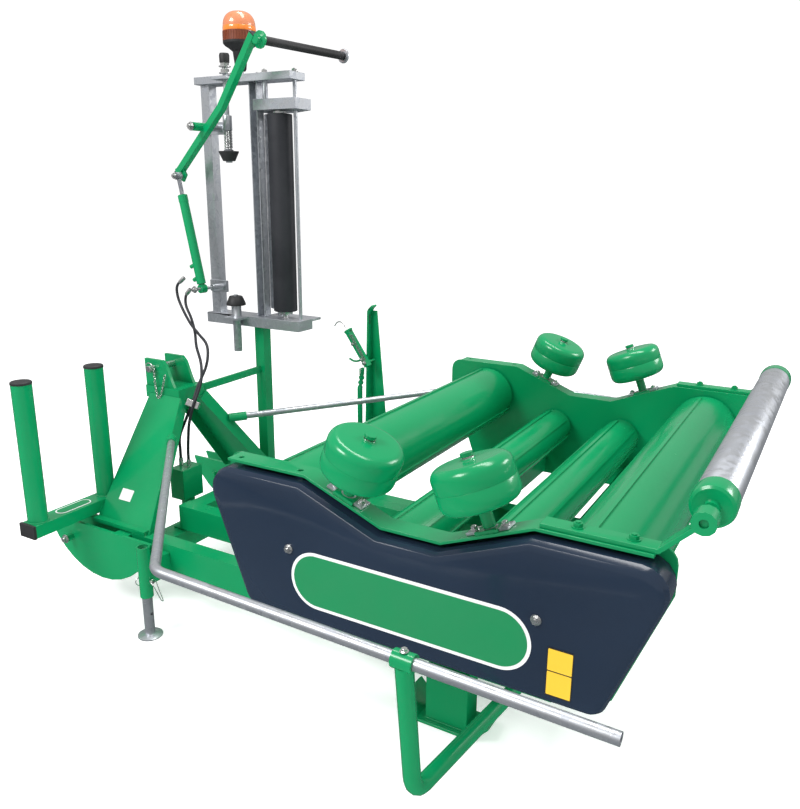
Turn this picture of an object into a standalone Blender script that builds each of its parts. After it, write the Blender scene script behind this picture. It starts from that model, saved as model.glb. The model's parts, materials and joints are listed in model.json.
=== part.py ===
"""A mounted bale wrapper: turntable with rollers and guide drums, tilting frame, chassis with its
three-point headstock, film dispenser with its film arm, and the film cutter.

Metres, +Z up, +X towards the rear, +Y to the right-hand side of the machine, which faces -X.
Every x below is measured from the turntable's axis; the empty "machine_origin" carries the axis
to its place, so that the origin lies at the middle of the machine's footprint.
"""
import math

import bmesh
import bpy
from mathutils import Matrix, Vector

# --- overall sizes ---------------------------------------------------------------------------
TABLE_X = 0.5634             # turntable axis, behind the origin
TABLE_TOP = 0.882            # top of the side plates' flanges
PLATE_INNER = 0.70           # half the clear width between the side plates
SEAT_GAP = 0.0003            # between touching pieces
RUN_GAP = 0.0005             # radial clearance of a shaft in its bore
MOVE_GAP = 0.006             # between pieces that pass each other

# --- side plates and their moulded panels ----------------------------------------------------
PLATE_WALL = 0.008
FLANGE_OUT = 0.055           # how far a flange stands out from its plate
FLANGE_THICK = 0.008
PLATE_HALF = 0.61            # half length at the top
PLATE_FOOT_HALF = 0.48       # half length at the lower edge
PLATE_DROP = 0.435           # from the flange's top to the lower edge
FLAT_END = 0.57              # where the flat top starts to round down
SLOPE_START = 0.313          # the dip's outer corners
SLOPE_END = 0.083            # the dip's inner corners
DIP_DEPTH = 0.091
PANEL_DEPTH = 0.090          # from the plate to the panel's outer face
PANEL_WALL = 0.005
PANEL_HALF = 0.612
PANEL_FOOT_HALF = 0.505
PANEL_TOP_GAP = 0.020        # from the flange's top down to the panel's upper edge
PANEL_DROP = 0.405
PANEL_CREASE = 0.022         # width of the rounded edge

# --- rollers ----------------------------------------------------------------------------------
BIG_ROLLER_X = 0.435
BIG_ROLLER_R = 0.112
BIG_ROLLER_DROP = 0.020      # from the flange's top down to the roller's top
SMALL_ROLLER_X = 0.135
SMALL_ROLLER_R = 0.070
SMALL_ROLLER_DROP = 0.155
ROLLER_END_GAP = 0.012       # between a roller's drum and a side plate
ROLLER_SHAFT_R = 0.018
RIB_HEIGHT = 0.006
RIB_WIDTH = 0.012
UNLOAD_X = 0.655
UNLOAD_Z = 0.085             # above the flange
UNLOAD_R = 0.044
UNLOAD_HALF = 0.655
UNLOAD_PIN_R = 0.009
UNLOAD_ARM_WIDTH = 0.046
UNLOAD_ARM_THICK = 0.010
UNLOAD_EYE_R = 0.026

# --- guide drums ------------------------------------------------------------------------------
DRUM_R = 0.100
DRUM_HEIGHT = 0.112
DRUM_EDGE = 0.026
DRUM_LIFT = 0.117            # from the flange to the drum's middle, along its axis
DRUM_FOOT_X = 0.198
DRUM_Y = 0.731
DRUM_PIN_R = 0.010
DRUM_FOOT = 0.062

# --- turntable --------------------------------------------------------------------------------
RING_R = 0.158
HUB_TOP = 0.460
CROSS_X = 0.205              # the two cross beams under the small rollers
CROSS_WIDTH = 0.080
CROSS_HEIGHT = 0.080
SPINE_HALF = 0.120           # half spacing of the short lengthwise beams

# --- tilting frame ----------------------------------------------------------------------------
TILT_X = 0.220
TILT_Z = 0.400
TILT_PIN_R = 0.015
TILT_EYE_R = 0.030
TILT_RAIL_Y = 0.200
TILT_RAIL_WIDTH = 0.060
TILT_RAIL_HEIGHT = 0.100
TILT_TOP = 0.380
TILT_FRONT = -1.335
TILT_BEAM_X = -0.500

# --- chassis ----------------------------------------------------------------------------------
RAIL_Y = 0.385
RAIL_WIDTH = 0.060
RAIL_TOP = 0.319
RAIL_HEIGHT = 0.120
RAIL_FRONT = -1.400
RAIL_REAR = 0.270
BEAM_HEIGHT = 0.075
FRONT_BEAM_X = -1.355
SKID_X = -0.050
SKID_LENGTH = 0.300
SKID_WIDTH = 0.130
SKID_THICK = 0.010
SKID_COLUMN = 0.140

# --- headstock --------------------------------------------------------------------------------
HEAD_Y = 0.075               # half width at the legs' upper ends
HEAD_LOW = 0.745
HEAD_TOP = 0.905
LEG_FOOT_Y = 0.400
LEG_FOOT_Z = 0.325
LEG_FRONT = -1.6147
LEG_TOP_REAR = -1.445
LEG_FOOT_REAR = -1.325
LEG_WALL = 0.006
LEG_DEPTH = 0.048
CHEEK_WALL = 0.014
TOP_PIN_X = -1.600
TOP_PIN_Z = 0.868
TOP_PIN_R = 0.0125
LINK_X = -1.545
LINK_Z = 0.410
LINK_R = 0.300
LINK_CUT = 0.330             # level upper edge of the half-round plates
LINK_OUTER_Y = 0.452
LINK_INNER_Y = 0.372
LINK_WALL = 0.012
LINK_PIN_X = -1.700
LINK_PIN_Z = 0.250
LINK_PIN_R = 0.014

# --- roll rack and parking stands --------------------------------------------------------------
RACK_X = -1.655
RACK_Z = 0.3655
RACK_WIDTH = 0.080
RACK_HEIGHT = 0.050
RACK_OUTER = 0.665
RACK_INNER = 0.262
RACK_POST_R = 0.036
RACK_POST_TOP = 0.918
RACK_POSTS_Y = (0.620, 0.310)
STAND_X = -1.215
STAND_Y = 0.525
STAND_SLEEVE_R = 0.024
STAND_LEG_R = 0.0185
STAND_SLEEVE_TOP = 0.355
STAND_SLEEVE_LOW = 0.160
STAND_FOOT_R = 0.045
STAND_PIN_Z = 0.225          # the locking pin, through the sleeve
STAND_LIFT = 0.132           # from the pinned hole to the next one down the leg
STAND_HOLE_R = 0.006

# --- safety bars -------------------------------------------------------------------------------
BAR_R = 0.0135
BAR_BORE_R = 0.0105
BAR_Y = 1.090
BAR_BEND_X = -0.520
BAR_BEND_Z = 0.702
BAR_END_X = 0.606
BAR_END_Z = 0.682
BAR_START_X = -1.385
BAR_START_Y = 0.195
BAR_START_Z = 0.628
BRACKET_R = 0.020
BRACKET_X = 0.173
BRACKET_FOOT_X = 0.205
BRACKET_LOW_Z = 0.345

# --- mast and film dispenser --------------------------------------------------------------------
MAST_X = -1.405
MAST_Y = 0.420
MAST_SIZE = 0.050
POST_X = -1.437              # the green post stands beside the channel above it
POST_Y = 0.441
DISPENSER_LOW = 0.990
DISPENSER_TOP = 2.030
ARM_DEPTH = 0.045
CHANNEL_SIZE = 0.042
LEFT_TUBE_X = -1.655
LEFT_TUBE_Y = 0.410
LEFT_TUBE_SIZE = 0.046
SPINDLE_X = -1.500
SPINDLE_Y = 0.345
SPINDLE_R = 0.010
CONE_R = 0.042
UPPER_CONE_Z = 1.690
LOWER_CONE_Z = 1.085
CONE_HEIGHT = 0.040
SPINDLE_LIFT = 0.080
STEEL_ROLLER_X = -1.370
STEEL_ROLLER_Y = 0.490
STEEL_ROLLER_R = 0.042
RUBBER_ROLLER_X = -1.285
RUBBER_ROLLER_Y = 0.420
RUBBER_ROLLER_R = 0.051
ROLLERS_LOW = 1.065
ROLLERS_TOP = 1.880
GEAR_LOW = 1.888
GEAR_HEIGHT = 0.042
GUIDE_ROD_X = -1.205
GUIDE_ROD_R = 0.008
BEACON_X = -1.501            # clear of the lifted spindle
BEACON_Y = 0.4455

# --- film arm and its cylinder -------------------------------------------------------------------
ARM_TURN = math.radians(7)   # of the arm's pivot from +Y towards +X
ARM_PIVOT = Vector((-1.584, 0.290, 1.824))
ARM_BAR = 0.028
ARM_POLE_R = 0.017
ARM_POLE_LENGTH = 0.500
ARM_HUB = (0.340, 0.304)     # along the arm's plane and up, from the pivot
ARM_EYE = (-0.144, -0.195)
ARM_BASE = (-0.028, -0.667)
ARM_CYLINDER_OUT = -0.030     # beside the arm, so that its rod passes the arm
ARM_BORE_R = 0.007
ARM_BARREL_R = 0.020
ARM_BARREL_LENGTH = 0.405
ARM_ROD_R = 0.009

# --- tilt cylinder ----------------------------------------------------------------------------------
TILT_BASE = Vector((-1.150, 0.0, 0.232))
TILT_EYE = Vector((0.100, 0.0, 0.235))
TILT_BARREL_R = 0.032
TILT_ROD_R = 0.016
TILT_BARREL_LENGTH = 0.620
TILT_ROD_START = 0.150       # room for the rod to draw in by 70 mm

# --- cutter ------------------------------------------------------------------------------------------
CUTTER_X = -0.990
CUTTER_Y = 0.680
CUTTER_TOP = 1.055
CUTTER_FOOT = 0.520
CUTTER_PIVOT_Z = 0.830
CUTTER_LENGTH = 0.165
CUTTER_LEAN = math.radians(-35)

SIDES = (("left", -1), ("right", 1))
ROUND = 20                   # sides of a big round piece
SLIM = 12                    # sides of a slim one


# ------------------------------------------------------------------------------- materials
def make_material(name, colour, roughness, metallic):
    """A Principled material of one finish."""
    material = bpy.data.materials.new(name)
    material.use_nodes = True
    shader = material.node_tree.nodes["Principled BSDF"]
    shader.inputs["Base Color"].default_value = (*colour, 1.0)
    shader.inputs["Roughness"].default_value = roughness
    shader.inputs["Metallic"].default_value = metallic
    return material


def make_materials():
    """All finishes of the machine, by name."""
    return {
        "green_paint": make_material("green_paint", (0.002, 0.30, 0.10), 0.30, 0.0),
        "galvanised": make_material("galvanised", (0.55, 0.58, 0.62), 0.38, 0.9),
        "panel": make_material("panel", (0.018, 0.033, 0.075), 0.42, 0.0),
        "black_plastic": make_material("black_plastic", (0.012, 0.012, 0.013), 0.45, 0.0),
        "rubber": make_material("rubber", (0.015, 0.016, 0.020), 0.60, 0.0),
        "amber": make_material("amber", (0.75, 0.16, 0.01), 0.15, 0.0),
    }


# ---------------------------------------------------------------------------- mesh helpers
def shape_from(points, faces):
    """A closed mesh, with its faces turned outwards."""
    bm = bmesh.new()
    corners = [bm.verts.new(p) for p in points]
    for face in faces:
        bm.faces.new([corners[i] for i in face])
    bmesh.ops.recalc_face_normals(bm, faces=bm.faces)
    mesh = bpy.data.meshes.new("shape")
    bm.to_mesh(mesh)
    bm.free()
    return mesh


def loft(rings):
    """Equal rings of points, joined in order, with both ends closed."""
    count = len(rings[0])
    points = [p for ring in rings for p in ring]
    faces = [list(range(count)), list(range(len(points) - count, len(points)))]
    for r in range(len(rings) - 1):
        for i in range(count):
            j = (i + 1) % count
            low, high = r * count, (r + 1) * count
            faces.append([low + i, low + j, high + j, high + i])
    return shape_from(points, faces)


def prism(outline, depth):
    """A flat outline of 3-D points, extruded by the vector depth."""
    depth = Vector(depth)
    return loft([[Vector(p) for p in outline], [Vector(p) + depth for p in outline]])


def box(low, high):
    """A block between two corners."""
    outline = [(low[0], low[1], low[2]), (high[0], low[1], low[2]),
               (high[0], high[1], low[2]), (low[0], high[1], low[2])]
    return prism(outline, (0, 0, high[2] - low[2]))


def plate_y(outline, y_from, y_to):
    """An outline of (x, z) points, thick along Y."""
    return prism([(x, y_from, z) for x, z in outline], (0, y_to - y_from, 0))


def across(direction):
    """Two unit vectors square to a direction and to each other."""
    direction = Vector(direction).normalized()
    guide = Vector((0, 0, 1)) if abs(direction.z) < 0.9 else Vector((1, 0, 0))
    first = direction.cross(guide).normalized()
    return first, direction.cross(first).normalized()


def sweep(path, section, up=None):
    """A section of (sideways, upwards) offsets carried along a path with mitred corners."""
    path = [Vector(p) for p in path]
    ways = [(b - a).normalized() for a, b in zip(path, path[1:])]
    if up is None:
        first, second = across(ways[0])
    else:
        first = ways[0].cross(Vector(up)).normalized()
        second = first.cross(ways[0]).normalized()
    ring = [path[0] + first * a + second * b for a, b in section]
    rings = [ring]
    for i, way in enumerate(ways):
        end = path[i + 1]
        normal = way + ways[i + 1] if i + 1 < len(ways) else way
        ring = [p + way * ((end - p).dot(normal) / way.dot(normal)) for p in ring]
        rings.append(ring)
    return loft(rings)


def circle(radius, sides):
    """A round section."""
    turn = 2 * math.pi / sides
    return [(radius * math.cos(turn * i), radius * math.sin(turn * i)) for i in range(sides)]


def bar(path, radius, sides=SLIM):
    """A round bar along a path."""
    return sweep(path, circle(radius, sides))


def beam(start, end, width, height, up=(0, 0, 1)):
    """A straight rectangular bar."""
    w, h = width / 2, height / 2
    return sweep([start, end], [(-w, -h), (w, -h), (w, h), (-w, h)], up)


def fillet(path, radius, steps=4):
    """A path whose inner corners are rounded."""
    path = [Vector(p) for p in path]
    out = [path[0]]
    for before, corner, after in zip(path, path[1:], path[2:]):
        into = (before - corner).normalized()
        away = (after - corner).normalized()
        half = into.angle(away) / 2
        reach = radius / math.tan(half)
        centre = corner + (into + away).normalized() * (radius / math.sin(half))
        start = corner + into * reach - centre
        end = corner + away * reach - centre
        sweep_angle = start.angle(end)
        axis = start.cross(end).normalized()
        for i in range(steps + 1):
            out.append(centre + Matrix.Rotation(sweep_angle * i / steps, 3, axis) @ start)
    out.append(path[-1])
    return out


def lathe(profile, start, axis, sides=ROUND):
    """A profile of (along, radius) turned about an axis; radius 0 is a point on the axis."""
    start, axis = Vector(start), Vector(axis).normalized()
    first, second = across(axis)
    points, rings = [], []
    for along, radius in profile:
        centre = start + axis * along
        if radius == 0:
            points.append(centre)
            rings.append([len(points) - 1] * sides)
            continue
        rings.append(list(range(len(points), len(points) + sides)))
        points.extend(centre + first * a + second * b for a, b in circle(radius, sides))
    closed = profile[0][1] != 0
    pairs = list(zip(rings, rings[1:])) + ([(rings[-1], rings[0])] if closed else [])
    faces = []
    for low, high in pairs:
        for i in range(sides):
            j = (i + 1) % sides
            face = list(dict.fromkeys([low[i], low[j], high[j], high[i]]))
            if len(face) > 2:
                faces.append(face)
    return shape_from(points, faces)


def rod(start, end, radius, sides=SLIM):
    """A straight round bar between two points."""
    return bar([start, end], radius, sides)


def bore_radius(shaft_radius, sides=SLIM):
    """The corner radius of a faceted bore that a faceted shaft turns in freely."""
    return (shaft_radius + RUN_GAP) / math.cos(math.pi / sides)


def guide_radius(shaft_radius):
    """The corner radius of a faceted bore that a shaft slides in without turning."""
    return shaft_radius + RUN_GAP


def arc_points(centre, radius, start, end, steps):
    """Points (a, b) on an arc, from one angle in degrees to another."""
    out = []
    for i in range(steps + 1):
        angle = math.radians(start + (end - start) * i / steps)
        out.append((centre[0] + radius * math.cos(angle), centre[1] + radius * math.sin(angle)))
    return out


def mirrored(mesh):
    """The same shape on the other side of the machine's middle plane."""
    bm = bmesh.new()
    bm.from_mesh(mesh)
    bmesh.ops.transform(bm, matrix=Matrix.Diagonal((1, -1, 1, 1)), verts=bm.verts)
    bmesh.ops.reverse_faces(bm, faces=bm.faces)
    out = bpy.data.meshes.new("shape")
    bm.to_mesh(out)
    bm.free()
    return out


# -------------------------------------------------------------------------- object building
def combine(base, others, operation):
    """One mesh from a base and others, by an exact Boolean."""
    for other in others:
        body = bpy.data.objects.new("body", base)
        tool = bpy.data.objects.new("tool", other)
        bpy.context.scene.collection.objects.link(body)
        bpy.context.scene.collection.objects.link(tool)
        cut = body.modifiers.new("join", "BOOLEAN")
        cut.operation = operation
        cut.object = tool
        bpy.context.view_layer.update()
        found = body.evaluated_get(bpy.context.evaluated_depsgraph_get())
        base = bpy.data.meshes.new_from_object(found)
        bpy.data.objects.remove(body)
        bpy.data.objects.remove(tool)
    return base


def tidy(mesh, pivot):
    """Weld what a Boolean leaves doubled, and move the mesh so that its pivot is at zero."""
    bm = bmesh.new()
    bm.from_mesh(mesh)
    bmesh.ops.remove_doubles(bm, verts=bm.verts, dist=0.00001)
    bmesh.ops.dissolve_degenerate(bm, edges=bm.edges, dist=0.00001)
    bmesh.ops.translate(bm, verts=bm.verts, vec=-Vector(pivot))
    bm.to_mesh(mesh)
    bm.free()
    mesh.shade_smooth()
    mesh.set_sharp_from_angle(angle=math.radians(35))
    return mesh


class Machine:
    """Holds the empties that carry the moving pieces, and adds the pieces to them."""

    def __init__(self):
        self.materials = make_materials()
        self.places = {}
        self.empties = {}
        self.add_empty("machine_origin", (0, 0, 0), None)
        self.empties["machine_origin"].location.x = TABLE_X

    def add_empty(self, name, place, parent="machine_origin"):
        """A joint's empty, at its place on the machine."""
        empty = bpy.data.objects.new(name, None)
        empty.empty_display_size = 0.05
        bpy.context.scene.collection.objects.link(empty)
        self.places[name] = Vector(place)
        self.empties[name] = empty
        if parent:
            empty.parent = self.empties[parent]
            empty.location = Vector(place) - self.places[parent]

    def add(self, name, material, shapes, cuts=(), parent="machine_origin"):
        """A named piece: its shapes joined, its cuts taken away, hung on an empty."""
        mesh = combine(shapes[0], shapes[1:], "UNION")
        mesh = combine(mesh, cuts, "DIFFERENCE")
        mesh = tidy(mesh, self.places[parent])
        mesh.name = name
        mesh.materials.clear()
        mesh.materials.append(self.materials[material])
        piece = bpy.data.objects.new(name, mesh)
        bpy.context.scene.collection.objects.link(piece)
        piece.parent = self.empties[parent]
        return piece


# ---------------------------------------------------------------------------- the turntable
def top_profile(drop=0.0, end=None):
    """The side plates' upper edge from front to rear, as (x, z), lowered by drop."""
    end = FLAT_END if end is None else end
    level = TABLE_TOP - drop
    dip = level - DIP_DEPTH
    half = [(-end, level), (-SLOPE_START, level), (-SLOPE_END, dip)]
    return half + [(-x, z) for x, z in reversed(half)]


def plate_outline():
    """The side plate, with rounded upper ends and a tapering lower part."""
    corner = PLATE_HALF - FLAT_END
    low = TABLE_TOP - PLATE_DROP
    centre = (FLAT_END, TABLE_TOP - corner)
    rear = arc_points(centre, corner, 90, 0, 4)[1:]
    rear.append((PLATE_HALF, TABLE_TOP - 0.11))
    rear.append((PLATE_FOOT_HALF + 0.02, low + 0.03))
    rear.append((PLATE_FOOT_HALF - 0.02, low))
    front = [(-x, z) for x, z in reversed(rear)]
    return top_profile() + rear + front


def panel_outline(inset):
    """The moulded panel's outline as (x, z), drawn in by inset."""
    top = TABLE_TOP - PANEL_TOP_GAP - inset
    low = TABLE_TOP - PANEL_DROP + inset
    half, foot = PANEL_HALF - inset, PANEL_FOOT_HALF - inset
    big, small = 0.062 - inset * 0.6, 0.036 - inset * 0.6
    lean = math.degrees(math.atan2(half - foot, top - big - low - small))
    rear = [(SLOPE_END, top - DIP_DEPTH), (SLOPE_START, top)]
    rear += arc_points((half - big, top - big), big, 90, -lean, 5)
    rear += arc_points((foot - small, low + small), small, -lean, -90, 4)
    return rear + [(-x, z) for x, z in reversed(rear)]


def add_turntable(machine):
    """The turning frame, both side plates and their panels."""
    level = HUB_TOP + SEAT_GAP
    low = level - 0.0003
    inner = PLATE_INNER - SEAT_GAP
    shapes = [lathe([(0, 0), (0, RING_R), (HUB_TOP - 0.4203, RING_R), (HUB_TOP - 0.4203, 0)],
                    (0, 0, 0.4203), (0, 0, 1))]
    for x in (-CROSS_X, CROSS_X):
        shapes.append(box((x - CROSS_WIDTH / 2, -inner, low - 0.002),
                          (x + CROSS_WIDTH / 2, inner, low + CROSS_HEIGHT)))
    for y in (-SPINE_HALF, SPINE_HALF):
        shapes.append(box((-CROSS_X, y - 0.03, low - 0.001), (CROSS_X, y + 0.03, low + 0.06)))
    machine.add("turntable_frame", "green_paint", shapes, parent="turntable_axis")
    add_side("left", machine)
    add_side("right", machine)


def flange_strip(y_from, y_to):
    """The flange: a strip under the plate's upper edge, rounded at both ends."""
    upper = top_profile()
    lower = [(x, z - FLANGE_THICK) for x, z in reversed(upper)]
    return plate_y(upper + lower, y_from, y_to)


def drum_axis(x_sign, y_sign):
    """A guide drum's foot on the flange, and the direction of its pin."""
    slope = math.atan2(DIP_DEPTH, SLOPE_START - SLOPE_END)
    z = TABLE_TOP - DIP_DEPTH + (DRUM_FOOT_X - SLOPE_END) * math.tan(slope)
    foot = Vector((x_sign * DRUM_FOOT_X, y_sign * DRUM_Y, z))
    return foot, Vector((-x_sign * math.sin(slope), 0, math.cos(slope)))


def drum_stud(x_sign):
    """A guide drum's foot plate and pin, on the right-hand flange."""
    foot, up = drum_axis(x_sign, 1)
    along = Vector((up.z, 0, -up.x))
    pad = beam(foot - along * DRUM_FOOT / 2 + up * 0.003, foot + along * DRUM_FOOT / 2 + up * 0.003,
               DRUM_FOOT * 0.86, 0.010, up)
    reach = DRUM_LIFT + DRUM_HEIGHT / 2
    collar = DRUM_LIFT - DRUM_HEIGHT / 2 - SEAT_GAP
    head = reach + 0.008 + SEAT_GAP
    pin = lathe([(0, 0), (0, 0.016), (collar, 0.016), (collar, DRUM_PIN_R), (head, DRUM_PIN_R),
                 (head, 0.016), (head + 0.010, 0.016), (head + 0.010, 0)], foot, up, SLIM)
    return [pad, pin]


def add_side(side, machine):
    """One side plate with its flange and drum studs, and the panel that covers it."""
    outer = PLATE_INNER + PLATE_WALL
    shapes = [plate_y(plate_outline(), PLATE_INNER, outer),
              flange_strip(outer - 0.004, outer + FLANGE_OUT)]
    shapes += drum_stud(-1) + drum_stud(1)
    y = DRUM_Y
    cuts = [rod((x, y + 0.008, TABLE_TOP - 0.02), (x, y + 0.008, TABLE_TOP + 0.01), 0.008, 12)
            for x in (-0.54, -0.34)]
    for x, z, r in roller_axes():
        cuts.append(rod((x, PLATE_INNER - 0.01, z), (x, outer + 0.01, z), bore_radius(r), SLIM))
    back, front = outer + SEAT_GAP, outer + PANEL_DEPTH
    rings = [[(x, y, z) for x, z in panel_outline(inset)] for inset, y in (
        (PANEL_CREASE + PANEL_WALL, front - PANEL_WALL), (PANEL_WALL, front - PANEL_CREASE),
        (PANEL_WALL, back), (0, back), (0, front - PANEL_CREASE), (PANEL_CREASE * 0.3, front - 0.007),
        (PANEL_CREASE, front))]
    panel = loft(rings)
    sign = -1 if side == "left" else 1
    if sign < 0:
        shapes = [mirrored(s) for s in shapes]
        cuts = [mirrored(s) for s in cuts]
        panel = mirrored(panel)
    machine.add("side_plate_" + side, "green_paint", shapes, cuts, "turntable_axis")
    machine.add("side_panel_" + side, "panel", [panel], parent="turntable_axis")


def roller_axes():
    """The four bale rollers' axes as (x, z, shaft radius), from front to rear."""
    big = TABLE_TOP - BIG_ROLLER_DROP - BIG_ROLLER_R
    small = TABLE_TOP - SMALL_ROLLER_DROP - SMALL_ROLLER_R
    return [(-BIG_ROLLER_X, big, ROLLER_SHAFT_R), (-SMALL_ROLLER_X, small, ROLLER_SHAFT_R),
            (SMALL_ROLLER_X, small, ROLLER_SHAFT_R), (BIG_ROLLER_X, big, ROLLER_SHAFT_R)]


def add_bale_rollers(machine):
    """The four ribbed rollers that carry and turn the bale."""
    ribs = {1: (4, 8), 2: (3, 70), 3: (3, 35), 4: (4, 60)}
    for i, (x, z, shaft) in enumerate(roller_axes(), 1):
        radius = BIG_ROLLER_R if i in (1, 4) else SMALL_ROLLER_R
        name = "bale_roller_%d" % i
        machine.add_empty(name + "_axis", (x, 0, z), "turntable_axis")
        end = PLATE_INNER - ROLLER_END_GAP
        tip = PLATE_INNER + PLATE_WALL - 0.001
        body = lathe([(-tip, 0), (-tip, shaft), (-end, shaft), (-end, radius - 0.004),
                      (-end + 0.004, radius), (end - 0.004, radius), (end, radius - 0.004),
                      (end, shaft), (tip, shaft), (tip, 0)], (x, 0, z), (0, 1, 0), ROUND)
        shapes = [body]
        count, first = ribs[i]
        for k in range(count):
            angle = math.radians(first + 360 * k / count)
            out = Vector((math.cos(angle), 0, math.sin(angle)))
            middle = Vector((x, 0, z)) + out * (radius + RIB_HEIGHT / 2 - 0.002)
            reach = Vector((0, end - 0.010, 0))
            shapes.append(beam(middle - reach, middle + reach, RIB_WIDTH, RIB_HEIGHT + 0.004, out))
        machine.add(name, "green_paint", shapes, parent=name + "_axis")


def add_unload_roller(machine):
    """The galvanised roller behind the table, in the eyes of its two arms."""
    z = TABLE_TOP + UNLOAD_Z
    machine.add_empty("unload_roller_axis", (UNLOAD_X, 0, z), "turntable_axis")
    arm_in = PLATE_INNER + 0.010
    arm_out = arm_in + UNLOAD_ARM_WIDTH
    tip = arm_out + 0.004
    half = [(UNLOAD_HALF - 0.004, UNLOAD_R), (UNLOAD_HALF, UNLOAD_R + 0.004),
            (UNLOAD_HALF + 0.012, UNLOAD_R + 0.002), (UNLOAD_HALF + 0.022, 0.030),
            (UNLOAD_HALF + 0.030, 0.018), (arm_in - SEAT_GAP, 0.018),
            (arm_in - SEAT_GAP, UNLOAD_PIN_R), (tip, UNLOAD_PIN_R), (tip, 0)]
    profile = [(-a, r) for a, r in reversed(half)] + half
    body = lathe(profile, (UNLOAD_X, 0, z), (0, 1, 0), ROUND)
    machine.add("unload_roller", "galvanised", [body], parent="unload_roller_axis")
    base = TABLE_TOP + SEAT_GAP
    thick = UNLOAD_ARM_THICK
    lift = Vector((UNLOAD_X - 0.575, 0, z - base - thick / 2)).normalized()
    for side, sign in SIDES:
        y = sign * (arm_in + arm_out) / 2
        start = Vector((SLOPE_START + 0.008, y, base + thick / 2))
        knee = Vector((0.575, y, base + thick / 2))
        tip_point = Vector((UNLOAD_X, y, z)) - lift * (UNLOAD_EYE_R - 0.004)
        w, h = UNLOAD_ARM_WIDTH / 2, thick / 2
        strap = sweep([start, knee, tip_point], [(-w, -h), (w, -h), (w, h), (-w, h)], (0, 0, 1))
        eye = lathe([(-w, 0), (-w, UNLOAD_EYE_R), (w, UNLOAD_EYE_R), (w, 0)],
                    (UNLOAD_X, y, z), (0, 1, 0), SLIM)
        hole = rod((UNLOAD_X, y - 0.1, z), (UNLOAD_X, y + 0.1, z), bore_radius(UNLOAD_PIN_R, ROUND), ROUND)
        machine.add("unload_arm_" + side, "green_paint", [strap, eye], [hole], "turntable_axis")


def add_guide_drums(machine):
    """Four drums on tilted pins that keep the bale between the side plates."""
    half = DRUM_HEIGHT / 2
    bore = bore_radius(DRUM_PIN_R)
    top = half + 0.008
    profile = [(-half, bore), (-half, DRUM_R - DRUM_EDGE)]
    profile += [(-half + DRUM_EDGE * (1 - math.cos(math.radians(a))),
                 DRUM_R - DRUM_EDGE + DRUM_EDGE * math.sin(math.radians(a))) for a in (30, 60, 90)]
    profile += [(half - DRUM_EDGE * (1 - math.sin(math.radians(a))),
                 DRUM_R - DRUM_EDGE + DRUM_EDGE * math.cos(math.radians(a))) for a in (0, 30, 60, 90)]
    profile += [(half, 0.040), (top, 0.034), (top, bore)]
    for row, x_sign in (("front", -1), ("rear", 1)):
        for side, y_sign in SIDES:
            foot, up = drum_axis(x_sign, y_sign)
            centre = foot + up * DRUM_LIFT
            name = "guide_drum_%s_%s" % (row, side)
            machine.add_empty(name + "_axis", centre, "turntable_axis")
            machine.add(name, "green_paint", [lathe(profile, centre, up, SLIM)], parent=name + "_axis")


# ------------------------------------------------------------------------- the tilting frame
def add_tilt_frame(machine):
    """The frame that carries the turntable and tips about its rear pin."""
    low = TILT_TOP - TILT_RAIL_HEIGHT
    w = TILT_RAIL_WIDTH / 2
    shapes = []
    for y in (-TILT_RAIL_Y, TILT_RAIL_Y):
        shapes.append(box((TILT_FRONT, y - w, low), (TILT_X + 0.01, y + w, TILT_TOP)))
    for x in (TILT_FRONT + 0.04, TILT_BEAM_X, 0.0):
        shapes.append(box((x - 0.04, -TILT_RAIL_Y, low + 0.01), (x + 0.04, TILT_RAIL_Y, TILT_TOP - 0.005)))
    outer = TILT_RAIL_Y + w + 0.002
    shapes.append(rod((TILT_X, -outer, TILT_Z), (TILT_X, outer, TILT_Z), TILT_EYE_R, SLIM))
    shapes.append(lathe([(0, 0), (0, RING_R + 0.01), (0.4200 - 0.372, RING_R + 0.01), (0.4200 - 0.372, 0)],
                        (0, 0, 0.372), (0, 0, 1)))
    lug = [(-0.030, low + 0.015), (0.035, TILT_TOP - 0.02), (TILT_EYE.x + 0.026, TILT_EYE.z + 0.010),
           (TILT_EYE.x + 0.016, TILT_EYE.z - 0.024), (TILT_EYE.x - 0.020, TILT_EYE.z - 0.024)]
    shapes.append(plate_y(lug, 0.026, 0.038))
    shapes.append(plate_y(lug, -0.038, -0.026))
    cuts = [rod((TILT_X, -0.5, TILT_Z), (TILT_X, 0.5, TILT_Z), bore_radius(TILT_PIN_R, ROUND), ROUND)]
    machine.add("tilt_frame", "green_paint", shapes, cuts, "tilt_axis")


def add_tilt_cylinder(machine):
    """The hydraulic cylinder that tips the frame."""
    way = (TILT_EYE - TILT_BASE).normalized()
    machine.add_empty("tilt_barrel_axis", TILT_BASE)
    machine.add_empty("tilt_rod_axis", TILT_EYE, "tilt_barrel_axis")
    r, bore = TILT_BARREL_R, guide_radius(TILT_ROD_R)
    length = TILT_BARREL_LENGTH
    tube = lathe([(0.035, 0), (0.035, r), (length, r), (length, bore), (0.060, bore), (0.060, 0)],
                 TILT_BASE, way, SLIM)
    eye = rod(TILT_BASE - Vector((0, 0.022, 0)), TILT_BASE + Vector((0, 0.022, 0)), 0.026)
    neck = rod(TILT_BASE, TILT_BASE + way * 0.045, 0.020)
    pin_hole = rod(TILT_BASE - Vector((0, 0.1, 0)), TILT_BASE + Vector((0, 0.1, 0)), bore_radius(0.012))
    machine.add("tilt_barrel", "green_paint", [neck, eye, tube], [pin_hole], "tilt_barrel_axis")
    start = TILT_BASE + way * TILT_ROD_START
    stem = rod(start, TILT_EYE - way * 0.010, TILT_ROD_R)
    eye = rod(TILT_EYE - Vector((0, 0.022, 0)), TILT_EYE + Vector((0, 0.022, 0)), 0.024)
    machine.add("tilt_rod", "galvanised", [stem, eye], parent="tilt_rod_axis")


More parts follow.
